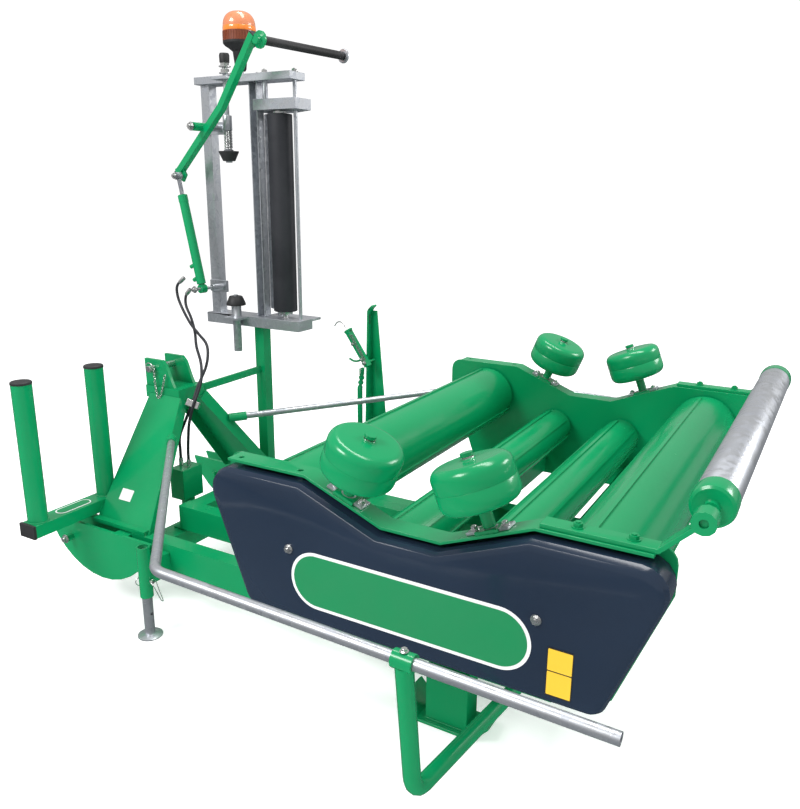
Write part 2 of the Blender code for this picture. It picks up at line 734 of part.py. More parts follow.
# ------------------------------------------------------------------------------- the chassis
def add_chassis(machine):
    """Rails, cross beams, tilt brackets and the sleeves of the parking stands."""
    low = RAIL_TOP - RAIL_HEIGHT
    w = RAIL_WIDTH / 2
    shapes, cuts = [], []
    for x in (FRONT_BEAM_X, TILT_X):
        shapes.append(box((x - 0.045, -RAIL_Y, low + 0.001), (x + 0.045, RAIL_Y, low + BEAM_HEIGHT)))
    pad_top = TILT_TOP - TILT_RAIL_HEIGHT - SEAT_GAP
    for sign in (-1, 1):
        y = sign * RAIL_Y
        shapes.append(box((RAIL_FRONT, y - w, low), (RAIL_REAR, y + w, RAIL_TOP)))
        bracket = [(TILT_X - 0.045, low + 0.03), (TILT_X + 0.045, low + 0.03)]
        bracket += arc_points((TILT_X, TILT_Z), 0.036, 0, 180, 8)
        near = TILT_RAIL_Y + TILT_RAIL_WIDTH / 2 + 0.008
        shapes.append(plate_y(bracket, sign * near, sign * (near + 0.012)))
        shapes.append(box((FRONT_BEAM_X - 0.02, sign * TILT_RAIL_Y - 0.025, low + 0.06),
                          (FRONT_BEAM_X + 0.04, sign * TILT_RAIL_Y + 0.025, pad_top)))
        sleeve_y = sign * STAND_Y
        gusset = sorted((y, sleeve_y))
        shapes.append(box((STAND_X - 0.030, gusset[0], low + 0.004), (STAND_X + 0.012, gusset[1], RAIL_TOP - 0.03)))
        shapes.append(rod((STAND_X, sleeve_y, STAND_SLEEVE_LOW), (STAND_X, sleeve_y, STAND_SLEEVE_TOP),
                          STAND_SLEEVE_R))
        cuts.append(rod((STAND_X, sleeve_y, 0.1), (STAND_X, sleeve_y, 0.4), guide_radius(STAND_LEG_R)))
    for sign in (-1, 1):
        ear = [(FRONT_BEAM_X, low + 0.002), (TILT_BASE.x + 0.022, low + 0.006),
               (TILT_BASE.x + 0.024, TILT_BASE.z + 0.024), (FRONT_BEAM_X + 0.02, low + BEAM_HEIGHT - 0.006)]
        shapes.append(plate_y(ear, sign * 0.026, sign * 0.038))
    shapes.append(rod((TILT_BASE.x, -0.038, TILT_BASE.z), (TILT_BASE.x, 0.038, TILT_BASE.z), 0.012))
    cuts.append(rod((TILT_X, -0.35, TILT_Z), (TILT_X, 0.35, TILT_Z), bore_radius(TILT_PIN_R, ROUND), ROUND))
    machine.add("chassis", "green_paint", shapes, cuts)
    reach = TILT_RAIL_Y + TILT_RAIL_WIDTH / 2 + 0.030
    pin = rod((TILT_X, -reach, TILT_Z), (TILT_X, reach, TILT_Z), TILT_PIN_R, ROUND)
    machine.add("tilt_pin", "galvanised", [pin])


def add_skids(machine):
    """The rear feet: a column under each rail, on a plate with turned-up ends."""
    top = RAIL_TOP - RAIL_HEIGHT - SEAT_GAP
    half = SKID_LENGTH / 2
    flat = half - 0.055
    outline = [(-half, 0.060), (-flat, 0.0), (flat, 0.0), (half, 0.060),
               (half - 0.008, 0.067), (flat - 0.003, SKID_THICK), (-flat + 0.003, SKID_THICK),
               (-half + 0.008, 0.067)]
    for side, sign in SIDES:
        y = sign * RAIL_Y
        plate = plate_y([(SKID_X + x, z) for x, z in outline], y - SKID_WIDTH / 2, y + SKID_WIDTH / 2)
        column = box((SKID_X - SKID_COLUMN / 2, y - 0.045, SKID_THICK - 0.004),
                     (SKID_X + SKID_COLUMN / 2, y + 0.030, top))
        machine.add("rear_foot_" + side, "green_paint", [plate, column])


def add_stands(machine):
    """The parking stands: a tube with a round foot in each sleeve."""
    for side, sign in SIDES:
        y = sign * STAND_Y
        machine.add_empty("stand_%s_axis" % side, (STAND_X, y, 0))
        leg = lathe([(0, 0), (0, STAND_FOOT_R), (0.006, STAND_FOOT_R), (0.014, 0.024),
                     (0.014, STAND_LEG_R), (0.375, STAND_LEG_R), (0.375, 0)], (STAND_X, y, 0), (0, 0, 1), SLIM)
        z = STAND_PIN_Z - STAND_LIFT
        hole = rod((STAND_X - 0.1, y, z), (STAND_X + 0.1, y, z), STAND_HOLE_R)
        machine.add("stand_leg_" + side, "galvanised", [leg], [hole], "stand_%s_axis" % side)


def add_headstock(machine):
    """The A-shaped headstock: two folded legs under a clevis for the top link."""
    shapes = []
    cuts = [box((-2, -1, 0), (-1, 1, RAIL_TOP + SEAT_GAP))]
    for sign in (-1, 1):
        top_y, foot_y = sign * HEAD_Y, sign * LEG_FOOT_Y
        upper = ((LEG_FRONT, HEAD_LOW + 0.02), (LEG_TOP_REAR, HEAD_LOW + 0.02))
        lower = ((LEG_FRONT, LEG_FOOT_Z - 0.010), (LEG_FOOT_REAR, LEG_FOOT_Z - 0.010))
        slant = Vector((0, foot_y - top_y, LEG_FOOT_Z - HEAD_LOW)).normalized()
        inward = Vector((1, 0, 0)).cross(slant)
        inward *= -sign if inward.y > 0 else sign
        rings = []
        for (front, z), (rear, _), y in ((upper[0], upper[1], top_y), (lower[0], lower[1], foot_y)):
            f, r = Vector((front, y, z)), Vector((rear, y, z))
            wall, deep = inward * LEG_WALL, inward * LEG_DEPTH
            edge = Vector((LEG_WALL, 0, 0))
            rings.append([f, r, r + deep, r - edge + deep, r - edge + wall, f + edge + wall,
                          f + edge + deep, f + deep])
        shapes.append(loft(rings))
        foot_in, foot_out = sorted((foot_y - sign * 0.045, foot_y + sign * 0.012))
        shapes.append(box((LEG_FRONT, foot_in, RAIL_TOP - 0.01), (LEG_FOOT_REAR - 0.01, foot_out, LEG_FOOT_Z + 0.010)))
        start = Vector((BAR_START_X, sign * BAR_START_Y, BAR_START_Z))
        way = (Vector((BAR_BEND_X, sign * BAR_Y, BAR_BEND_Z)) - start).normalized()
        shapes.append(rod(start - way * 0.040, start + way * 0.035, BAR_R + 0.006))
        cuts.append(rod(start - way * SEAT_GAP, start + way * 0.1, BAR_R + SEAT_GAP))
    shapes.append(box((-1.640, -HEAD_Y + 0.002, HEAD_LOW), (-1.455, HEAD_Y - 0.002, HEAD_LOW + 0.050)))
    for sign in (-1, 1):
        cheek = [(-1.645, HEAD_LOW + 0.005), (-1.470, HEAD_LOW + 0.005), (-1.505, HEAD_TOP - 0.080),
                 (-1.528, HEAD_TOP - 0.020), (-1.548, HEAD_TOP), (-1.648, HEAD_TOP)]
        out = sign * 0.062
        shapes.append(plate_y(cheek, out - sign * CHEEK_WALL, out))
    shapes.append(rod((TOP_PIN_X, -0.090, TOP_PIN_Z), (TOP_PIN_X, 0.075, TOP_PIN_Z), TOP_PIN_R))
    machine.add("headstock", "green_paint", shapes, cuts)


def add_link_brackets(machine):
    """The half-round plate pairs that hold the lower-link pins."""
    cut_angle = math.degrees(math.asin((LINK_Z - LINK_CUT) / LINK_R))
    outline = arc_points((LINK_X, LINK_Z), LINK_R, 180 + cut_angle, 360 - cut_angle, 14)
    top = RAIL_TOP - 0.001
    low = RAIL_TOP - RAIL_HEIGHT
    for side, sign in SIDES:
        shapes = []
        for y in (LINK_OUTER_Y, LINK_INNER_Y):
            edge = sign * y
            shapes.append(plate_y(outline, edge, edge - sign * LINK_WALL))
        shapes.append(rod((LINK_PIN_X, sign * (LINK_OUTER_Y + 0.03), LINK_PIN_Z),
                          (LINK_PIN_X, sign * (LINK_INNER_Y - 0.03), LINK_PIN_Z), LINK_PIN_R))
        inner, outer = sorted((sign * (LINK_INNER_Y - LINK_WALL), sign * LINK_OUTER_Y))
        web_rear = RAIL_FRONT - SEAT_GAP
        shapes.append(box((web_rear - 0.07, inner, low), (web_rear, outer, LINK_CUT - 0.016)))
        rear = LINK_X + LINK_R
        slot_in, slot_out = sorted((sign * (RAIL_Y - RAIL_WIDTH / 2) - 0.0003, sign * (RAIL_Y + RAIL_WIDTH / 2)))
        clear = box((web_rear, slot_in - 0.001, low - 0.001), (rear + 0.05, slot_out + 0.0003, LINK_CUT + 0.05))
        crown = box((-1.9, -0.6, RAIL_TOP - 0.0003), (rear + 0.05, 0.6, LINK_CUT + 0.1))
        machine.add("link_bracket_" + side, "green_paint", shapes, [clear, crown])


def add_rack(machine):
    """The rack for a spare film roll: two posts on a bar beside the headstock."""
    low = RACK_Z - RACK_HEIGHT / 2
    w = RACK_WIDTH / 2
    shapes = [box((RACK_X - w, -RACK_OUTER, low), (RACK_X + w, -RACK_INNER, low + RACK_HEIGHT))]
    for y in RACK_POSTS_Y:
        shapes.append(rod((RACK_X, -y, RACK_Z), (RACK_X, -y, RACK_POST_TOP), RACK_POST_R))
    machine.add("roll_rack", "green_paint", shapes)


def bar_path(sign):
    """The safety bar's middle line."""
    return fillet([(BAR_START_X, sign * BAR_START_Y, BAR_START_Z),
                   (BAR_BEND_X, sign * BAR_Y, BAR_BEND_Z), (BAR_END_X, sign * BAR_Y, BAR_END_Z)], 0.070)


def add_safety_bars(machine):
    """The bent tubes that keep people away from the table, with their brackets."""
    bar_way = Vector((BAR_END_X - BAR_BEND_X, 0, BAR_END_Z - BAR_BEND_Z)).normalized()
    height = BAR_BEND_Z + (BRACKET_X - BAR_BEND_X) * bar_way.z / bar_way.x
    for side, sign in SIDES:
        path = bar_path(sign)
        end = path[-1]
        mouth = rod(end - bar_way * 0.060, end + bar_way * 0.02, BAR_BORE_R, 12)
        machine.add("safety_bar_" + side, "galvanised", [bar(path, BAR_R, 12)], [mouth])
        clamp = Vector((BRACKET_X, sign * BAR_Y, height))
        collar = rod(clamp - bar_way * 0.024, clamp + bar_way * 0.024, BAR_R + 0.007)
        stem = bar(fillet([clamp - Vector((0, 0, 0.010)), (BRACKET_X + 0.006, sign * (BAR_Y - 0.035), BRACKET_LOW_Z),
                           (BRACKET_FOOT_X, sign * (RAIL_Y + RAIL_WIDTH / 2 + SEAT_GAP), RAIL_TOP - 0.045)],
                          0.060, 6), BRACKET_R)
        hole = rod(clamp - bar_way * 0.2, clamp + bar_way * 0.2, (BAR_R + SEAT_GAP) / math.cos(math.pi / 12), 12)
        trim = box((0, sign * RAIL_Y - 0.0303, 0.1), (0.5, sign * RAIL_Y + 0.0303, 0.5))
        machine.add("bar_bracket_" + side, "green_paint", [stem, collar], [hole, trim])


# ------------------------------------------------------------------------- mast and dispenser
def add_mast(machine):
    """The square post that carries the film dispenser, braced to the headstock."""
    h = MAST_SIZE / 2
    top = DISPENSER_LOW - SEAT_GAP
    post = box((POST_X - h, POST_Y - h, RAIL_TOP + SEAT_GAP), (POST_X + h, POST_Y + h, top))
    brace = beam((-1.480, HEAD_Y, 0.770), (POST_X, POST_Y - 0.01, 0.790), 0.012, 0.030)
    foot = box((POST_X - 0.045, POST_Y - h + 0.001, RAIL_TOP + SEAT_GAP), (POST_X + 0.045, POST_Y + h + 0.01, RAIL_TOP + 0.009))
    trim = box((-1.6, -1, 0.7), (-1.3, HEAD_Y + 0.018, 0.9))
    machine.add("mast", "green_paint", [post, brace, foot], [trim])


def add_dispenser(machine):
    """The galvanised frame round the film: tube, channel, and an arm above and below."""
    low_top = DISPENSER_LOW + ARM_DEPTH
    high_low = DISPENSER_TOP - 0.030
    t = LEFT_TUBE_SIZE / 2
    front = LEFT_TUBE_X - t - 0.020
    tab = 0.040
    lower = box((front, MAST_Y - 0.050, DISPENSER_LOW), (-1.180, MAST_Y + 0.050, low_top))
    lower_tab = box((SPINDLE_X - tab, SPINDLE_Y - tab, low_top - 0.012), (SPINDLE_X + tab, MAST_Y, low_top - 0.001))
    lower_tail = box((STEEL_ROLLER_X - 0.05, MAST_Y, low_top - 0.013), (-1.185, STEEL_ROLLER_Y + 0.05, low_top - 0.002))
    stub = rod((SPINDLE_X, SPINDLE_Y, 0.880), (SPINDLE_X, SPINDLE_Y, low_top - 0.004), 0.018)
    pin = rod((SPINDLE_X, SPINDLE_Y, low_top - 0.008), (SPINDLE_X, SPINDLE_Y, LOWER_CONE_Z + CONE_HEIGHT + 0.006), SPINDLE_R)
    seat = rod((SPINDLE_X, SPINDLE_Y, low_top - 0.006), (SPINDLE_X, SPINDLE_Y, LOWER_CONE_Z - SEAT_GAP), 0.022)
    shapes = [lower, lower_tab, lower_tail, stub, pin, seat]
    cuts = []
    for x, y in ((STEEL_ROLLER_X, STEEL_ROLLER_Y), (RUBBER_ROLLER_X, RUBBER_ROLLER_Y)):
        cuts.append(rod((x, y, low_top - 0.03), (x, y, low_top + 0.03), bore_radius(0.012)))
    machine.add("dispenser_lower_arm", "galvanised", shapes, cuts)
    upper = box((front, MAST_Y - 0.050, high_low), (-1.190, MAST_Y + 0.050, DISPENSER_TOP))
    upper_tab = box((SPINDLE_X - tab, SPINDLE_Y - tab, high_low + 0.006), (SPINDLE_X + tab, MAST_Y, high_low + 0.018))
    hole = rod((SPINDLE_X, SPINDLE_Y, high_low - 0.05), (SPINDLE_X, SPINDLE_Y, DISPENSER_TOP + 0.05),
               bore_radius(SPINDLE_R))
    machine.add("dispenser_upper_arm", "galvanised", [upper, upper_tab], [hole])
    posts = (("dispenser_tube", LEFT_TUBE_X, LEFT_TUBE_Y, t), ("dispenser_channel", MAST_X, MAST_Y, CHANNEL_SIZE / 2))
    for name, x, y, h in posts:
        shapes = [box((x - h, y - h, low_top + SEAT_GAP), (x + h, y + h, high_low - SEAT_GAP))]
        cuts = []
        if name == "dispenser_tube":
            shapes += film_arm_brackets()
        else:
            cuts = [box((x - h + 0.005, y - h - 0.01, low_top), (x + h - 0.005, y + h - 0.005, high_low))]
        machine.add(name, "galvanised", shapes, cuts)
    gear_top = GEAR_LOW + GEAR_HEIGHT
    cover = [(-1.378, 0.365), (-1.163, 0.365), (-1.163, 0.470), (-1.300, 0.545), (-1.425, 0.545),
             (-1.425, 0.447), (-1.378, 0.447)]
    shapes = [prism([(x, y, GEAR_LOW) for x, y in cover], (0, 0, GEAR_HEIGHT)),
              rod((-1.336, 0.395, gear_top - 0.01), (-1.336, 0.395, high_low - SEAT_GAP), 0.011),
              rod((GUIDE_ROD_X, MAST_Y, low_top + SEAT_GAP), (GUIDE_ROD_X, MAST_Y, high_low - SEAT_GAP), GUIDE_ROD_R)]
    cuts = []
    for x, y in ((STEEL_ROLLER_X, STEEL_ROLLER_Y), (RUBBER_ROLLER_X, RUBBER_ROLLER_Y)):
        cuts.append(rod((x, y, GEAR_LOW - 0.01), (x, y, GEAR_LOW + 0.020), bore_radius(0.012)))
    machine.add("gear_cover", "galvanised", shapes, cuts)


def add_stretch_rollers(machine):
    """The two geared rollers that stretch the film."""
    low_top = DISPENSER_LOW + ARM_DEPTH
    rollers = (("stretch_roller_steel", "galvanised", STEEL_ROLLER_X, STEEL_ROLLER_Y, STEEL_ROLLER_R),
               ("stretch_roller_rubber", "rubber", RUBBER_ROLLER_X, RUBBER_ROLLER_Y, RUBBER_ROLLER_R))
    for name, material, x, y, radius in rollers:
        machine.add_empty(name + "_axis", (x, y, 0))
        profile = [(low_top - 0.022, 0), (low_top - 0.022, 0.012), (ROLLERS_LOW, 0.012), (ROLLERS_LOW, radius),
                   (ROLLERS_TOP, radius), (ROLLERS_TOP, 0.012), (GEAR_LOW + 0.015, 0.012), (GEAR_LOW + 0.015, 0)]
        machine.add(name, material, [lathe(profile, (x, y, 0), (0, 0, 1), SLIM)], parent=name + "_axis")


def add_film_spindle(machine):
    """The sprung upper spindle with its cone, and the cone below."""
    place = (SPINDLE_X, SPINDLE_Y, 0)
    machine.add_empty("upper_spindle_axis", place)
    machine.add_empty("upper_cone_axis", place, "upper_spindle_axis")
    machine.add_empty("lower_cone_axis", place)
    r = SPINDLE_R
    cone_top = UPPER_CONE_Z + CONE_HEIGHT
    guide = DISPENSER_TOP - 0.030 + 0.006
    profile = [(UPPER_CONE_Z - 0.006, 0), (UPPER_CONE_Z - 0.006, 0.014), (UPPER_CONE_Z - SEAT_GAP, 0.014),
               (UPPER_CONE_Z - SEAT_GAP, r), (cone_top + SEAT_GAP, r), (cone_top + SEAT_GAP, 0.020),
               (1.860, 0.020), (1.860, 0.014), (guide - SPINDLE_LIFT - 0.008, 0.014),
               (guide - SPINDLE_LIFT - 0.008, r), (DISPENSER_TOP + SEAT_GAP, r),
               (DISPENSER_TOP + SEAT_GAP, 0.022), (DISPENSER_TOP + 0.022, 0.022), (DISPENSER_TOP + 0.030, r),
               (2.075, r), (2.075, 0.020), (2.110, 0.020), (2.110, 0)]
    machine.add("upper_spindle", "galvanised", [lathe(profile, place, (0, 0, 1), SLIM)],
                parent="upper_spindle_axis")
    bore = bore_radius(r)
    upper = [(UPPER_CONE_Z, bore), (UPPER_CONE_Z, 0.026), (cone_top - 0.006, CONE_R), (cone_top, CONE_R), (cone_top, bore)]
    machine.add("upper_cone", "black_plastic", [lathe(upper, place, (0, 0, 1), SLIM)], parent="upper_cone_axis")
    z = LOWER_CONE_Z
    lower = [(z, bore), (z, CONE_R), (z + 0.008, CONE_R), (z + CONE_HEIGHT, 0.028), (z + CONE_HEIGHT, bore)]
    machine.add("lower_cone", "black_plastic", [lathe(lower, place, (0, 0, 1), SLIM)], parent="lower_cone_axis")


def arm_frame():
    """The film arm's plane: its sideways direction and its pivot's direction."""
    side = Vector((math.cos(ARM_TURN), -math.sin(ARM_TURN), 0))
    return side, Vector((math.sin(ARM_TURN), math.cos(ARM_TURN), 0))


def arm_point(along, up, out=0.0):
    """A point given in the film arm's plane, from its pivot."""
    side, axis = arm_frame()
    return ARM_PIVOT + side * along + Vector((0, 0, up)) + axis * out


def film_arm_brackets():
    """The lugs on the dispenser's tube that carry the arm's pivot and the cylinder."""
    side, axis = arm_frame()
    face = LEFT_TUBE_Y - LEFT_TUBE_SIZE / 2
    shapes = []
    for along, up in ((0.0, 0.0), ARM_BASE):
        centre = arm_point(along, up)
        reach = (face - centre.y) / axis.y
        end = centre + axis * (reach + 0.006)
        shapes.append(beam((LEFT_TUBE_X - 0.02, face - 0.004, end.z), (end.x + 0.020, face - 0.004, end.z), 0.014, 0.050))
        shapes.append(rod(centre - axis * 0.062, end, ARM_BORE_R))
        shapes.append(rod(centre + axis * 0.022, end, 0.014))
    return shapes


def add_film_arm(machine):
    """The bent arm over the film roll, with the pole that guides the film."""
    side, axis = arm_frame()
    machine.add_empty("film_arm_axis", ARM_PIVOT)
    hub = arm_point(*ARM_HUB)
    machine.add_empty("film_pole_axis", hub, "film_arm_axis")
    path = [arm_point(-0.177, -0.184), arm_point(0.121, 0.071), arm_point(0.322, 0.322)]
    h = ARM_BAR / 2
    strap = sweep(path, [(-h, -h), (h, -h), (h, h), (-h, h)], axis)
    boss = rod(ARM_PIVOT - axis * 0.055, ARM_PIVOT + axis * 0.0215, 0.017)
    lug = plate_from_arm([(-0.196, -0.166), (-0.150, -0.150), (-0.122, -0.190), (-0.144, -0.219), (-0.172, -0.205)],
                         -0.006, 0.004)
    flange = lathe([(0.006, 0), (0.006, 0.016), (0.010, 0.033), (0.019, 0.033), (0.022, 0.020), (0.022, 0)],
                   hub, axis, SLIM)
    neck = rod(hub - axis * 0.012, hub + axis * 0.010, 0.018)
    stub = rod(hub - axis * 0.002, hub + axis * (ARM_POLE_LENGTH + 0.004), 0.006)
    hole = rod(ARM_PIVOT - axis * 0.1, ARM_PIVOT + axis * 0.1, bore_radius(ARM_BORE_R))
    machine.add("film_arm", "green_paint", [strap, boss, lug, neck, flange, stub], [hole], "film_arm_axis")
    bore = bore_radius(0.006)
    length = ARM_POLE_LENGTH
    pole = [(0.022 + SEAT_GAP, bore), (0.022 + SEAT_GAP, ARM_POLE_R), (length - 0.006, ARM_POLE_R),
            (length - 0.006, 0.029), (length, 0.029), (length, bore)]
    machine.add("film_pole", "black_plastic", [lathe(pole, hub, axis, SLIM)], parent="film_pole_axis")


def plate_from_arm(outline, out_from, out_to):
    """A plate in the film arm's plane, between two distances along its pivot."""
    side, axis = arm_frame()
    return prism([arm_point(a, b, out_from) for a, b in outline], axis * (out_to - out_from))


def add_arm_cylinder(machine):
    """The cylinder that lowers the film arm."""
    side, axis = arm_frame()
    shift = ARM_CYLINDER_OUT
    base, eye = arm_point(*ARM_BASE, shift), arm_point(*ARM_EYE, shift)
    way = (eye - base).normalized()
    machine.add_empty("arm_barrel_axis", base)
    machine.add_empty("arm_rod_axis", eye, "arm_barrel_axis")
    r, length = ARM_BARREL_R, ARM_BARREL_LENGTH
    bore = guide_radius(ARM_ROD_R)
    tube = lathe([(0.022, 0), (0.022, r), (length, r), (length, bore), (0.040, bore), (0.040, 0)], base, way, SLIM)
    eye_low = rod(base - axis * 0.014, base + axis * 0.014, 0.019)
    neck = rod(base, base + way * 0.030, 0.014)
    hole = rod(base - axis * 0.1, base + axis * 0.1, bore_radius(ARM_BORE_R))
    ports = []
    for start, lean in ((0.055, 0.5), (0.110, 0.4)):
        root = base + way * start
        out = (-side + Vector((0, 0, -lean))).normalized()
        ports.append(rod(root + out * 0.012, root + out * 0.045, 0.009, 12))
    machine.add("arm_barrel", "green_paint", [neck, eye_low, tube] + ports, [hole], "arm_barrel_axis")
    stem = rod(base + way * 0.060, eye - way * 0.008, ARM_ROD_R)
    head = rod(eye - axis * 0.013, eye + axis * 0.0105, 0.016)
    bolt = rod(eye - axis * 0.020, eye - axis * 0.010, 0.009, 12)
    machine.add("arm_rod", "galvanised", [stem, head, bolt], parent="arm_rod_axis")


def add_beacon(machine):
    """The flashing light on its bracket over the dispenser."""
    x, y = BEACON_X, BEACON_Y
    base = DISPENSER_TOP + SEAT_GAP
    profile = [(base, 0), (base, 0.018), (base + 0.008, 0.018), (base + 0.008, 0.010), (2.075, 0.010),
               (2.085, 0.016), (2.135, 0.020), (2.150, 0.055), (2.165, 0.070), (2.190, 0.070),
               (2.196, 0.069), (2.235, 0.068), (2.262, 0.056), (2.276, 0.032), (2.281, 0)]
    machine.add("beacon", "amber", [lathe(profile, (x, y, 0), (0, 0, 1), ROUND)])


# ------------------------------------------------------------------------- valve, hoses, cutter
HOSE_R = 0.006
HOSE_ROUTES = (
    ((-1.733, 0.276, 1.196), (-1.765, 0.262, 1.160), (-1.758, 0.255, 1.110), (-1.715, 0.240, 1.055),
     (-1.625, 0.190, 1.010), (-1.535, 0.140, 0.985), (-1.450, 0.098, 0.950), (-1.424, 0.062, 0.880),
     (-1.424, 0.005, 0.800), (-1.424, -0.030, 0.740), (-1.450, -0.050, 0.665), (-1.484, -0.055, 0.590),
     (-1.484, -0.058, 0.530), (-1.484, -0.058, 0.4654)),
    ((-1.700, 0.276, 1.148), (-1.722, 0.268, 1.118), (-1.715, 0.258, 1.075), (-1.665, 0.235, 1.025),
     (-1.590, 0.175, 0.980), (-1.510, 0.098, 0.940), (-1.418, 0.024, 0.895), (-1.393, -0.005, 0.835),
     (-1.394, -0.030, 0.780), (-1.400, -0.052, 0.735), (-1.418, -0.063, 0.660), (-1.432, -0.060, 0.590),
     (-1.440, -0.058, 0.530), (-1.440, -0.058, 0.4654)),
)


def smooth_route(points, count):
    """Evenly spread points of a smooth curve through the given ones."""
    points = [Vector(p) for p in points]
    padded = [points[0] * 2 - points[1]] + points + [points[-1] * 2 - points[-2]]
    fine = []
    for a, b, c, d in zip(padded, padded[1:], padded[2:], padded[3:]):
        for i in range(12):
            t = i / 12
            fine.append(0.5 * (2 * b + (c - a) * t + (2 * a - 5 * b + 4 * c - d) * t * t
                               + (3 * b - a - 3 * c + d) * t ** 3))
    fine.append(points[-1])
    reach = [0.0]
    for a, b in zip(fine, fine[1:]):
        reach.append(reach[-1] + (b - a).length)
    out = []
    for i in range(count):
        target = reach[-1] * i / (count - 1)
        k = max(j for j in range(len(reach)) if reach[j] <= target + 1e-9)
        k = min(k, len(fine) - 2)
        share = (target - reach[k]) / (reach[k + 1] - reach[k])
        out.append(fine[k].lerp(fine[k + 1], min(1.0, share)))
    return out


def add_hoses(machine):
    """The two hoses from the film arm's cylinder to the valve block."""
    for i, route in enumerate(HOSE_ROUTES, 1):
        curve = bpy.data.curves.new("hose_%d" % i, "CURVE")
        curve.dimensions = "3D"
        curve.bevel_depth = HOSE_R
        curve.bevel_resolution = 2
        curve.use_fill_caps = True
        spline = curve.splines.new("POLY")
        places = smooth_route(route, 44)
        spline.points.add(len(places) - 1)
        for point, place in zip(spline.points, places):
            point.co = (*place, 1.0)
        curve.materials.append(machine.materials["rubber"])
        hose = bpy.data.objects.new("hose_%d" % i, curve)
        bpy.context.scene.collection.objects.link(hose)
        hose.parent = machine.empties["machine_origin"]


def add_valve_block(machine):
    """The hydraulic valve block on its pillar behind the headstock."""
    low = RAIL_TOP - RAIL_HEIGHT + BEAM_HEIGHT + SEAT_GAP
    front = FRONT_BEAM_X - 0.045 - SEAT_GAP
    block = box((-1.500, -0.110, 0.335), (-1.425, 0.000, 0.465))
    pillar = box((-1.475, -0.080, low - 0.050), (-1.445, -0.030, 0.340))
    shelf = box((-1.480, -0.085, low - 0.055), (front, -0.025, low - 0.010))
    machine.add("valve_block", "green_paint", [block, pillar, shelf])


def add_cutter(machine):
    """The film cutter on its post, out by the table's front right corner."""
    x, y = CUTTER_X, CUTTER_Y
    rail_out = RAIL_Y + RAIL_WIDTH / 2 + SEAT_GAP
    support = box((x - 0.03, rail_out, 0.225), (x + 0.03, y + 0.03, 0.285))
    web = prism([(x - 0.030, y + 0.020, 0.26), (x + 0.050, y + 0.020, 0.26), (x + 0.050, y + 0.020, CUTTER_FOOT),
                 (x - 0.002, y + 0.020, CUTTER_TOP), (x - 0.034, y + 0.020, CUTTER_TOP)], (0, 0.006, 0))
    face = prism([(x - 0.034, y + 0.026, 0.26), (x - 0.034, y - 0.030, 0.26), (x - 0.034, y - 0.030, CUTTER_FOOT),
                  (x - 0.034, y - 0.012, CUTTER_TOP), (x - 0.034, y + 0.026, CUTTER_TOP)], (0.006, 0, 0))
    lip = prism([(x - 0.034, y - 0.012, CUTTER_TOP - 0.006), (x - 0.034, y + 0.026, CUTTER_TOP - 0.006),
                 (x - 0.020, y + 0.026, CUTTER_TOP + 0.018), (x - 0.020, y - 0.012, CUTTER_TOP + 0.018)],
                (0.006, 0, 0))
    tube = rod((x - 0.062, y - 0.030, 0.262), (x - 0.062, y - 0.030, 0.700), 0.012, 12)
    shoe = box((x - 0.078, y - 0.045, 0.240), (x, y - 0.015, 0.275))
    pivot = Vector((x - 0.018, y - 0.030, CUTTER_PIVOT_Z))
    pin = rod(pivot - Vector((0, 0.034, 0)), pivot + Vector((0, 0.052, 0)), 0.006, 12)
    machine.add("cutter_post", "green_paint", [face, web, lip, support, shoe, tube, pin])
    machine.add_empty("cutter_arm_axis", pivot)
    lean = Vector((math.sin(CUTTER_LEAN), 0, math.cos(CUTTER_LEAN)))
    centre = pivot - Vector((0, 0.016, 0))
    blade_bar = beam(centre - lean * 0.020, centre + lean * CUTTER_LENGTH, 0.020, 0.034, (0, 1, 0))
    hole = rod(pivot - Vector((0, 0.1, 0)), pivot + Vector((0, 0.1, 0)), bore_radius(0.006, 12), 12)
    machine.add("cutter_arm", "green_paint", [blade_bar], [hole], "cutter_arm_axis")


# ---------------------------------------------------------------------------------- assembly
def main():
    for old in list(bpy.data.objects):
        bpy.data.objects.remove(old)
    machine = Machine()
    machine.add_empty("tilt_axis", (TILT_X, 0, TILT_Z))
    machine.add_empty("turntable_axis", (0, 0, HUB_TOP), "tilt_axis")
    add_chassis(machine)
    add_skids(machine)
    add_stands(machine)
    add_headstock(machine)
    add_link_brackets(machine)
    add_rack(machine)
    add_safety_bars(machine)
    add_tilt_frame(machine)
    add_tilt_cylinder(machine)
    add_turntable(machine)
    add_bale_rollers(machine)
    add_unload_roller(machine)
    add_guide_drums(machine)
    add_mast(machine)
    add_dispenser(machine)
    add_stretch_rollers(machine)
    add_film_spindle(machine)
    add_film_arm(machine)
    add_arm_cylinder(machine)
    add_beacon(machine)
    add_valve_block(machine)
    add_hoses(machine)
    add_cutter(machine)


main()
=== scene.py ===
# %% [markdown]
# # A linkage-mounted bale wrapper
# The machine stands on its own feet behind the tractor. A turntable with rollers turns a round bale while
# a dispenser feeds film to it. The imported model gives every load-carrying piece at its real place, and
# this lesson gives those pieces their rounded edges, their finishes and their small parts.
# The frame comes first, because every later place is read from it.

# %% Load the frame
import json
import math

import bmesh
import bpy
from mathutils import Matrix, Vector

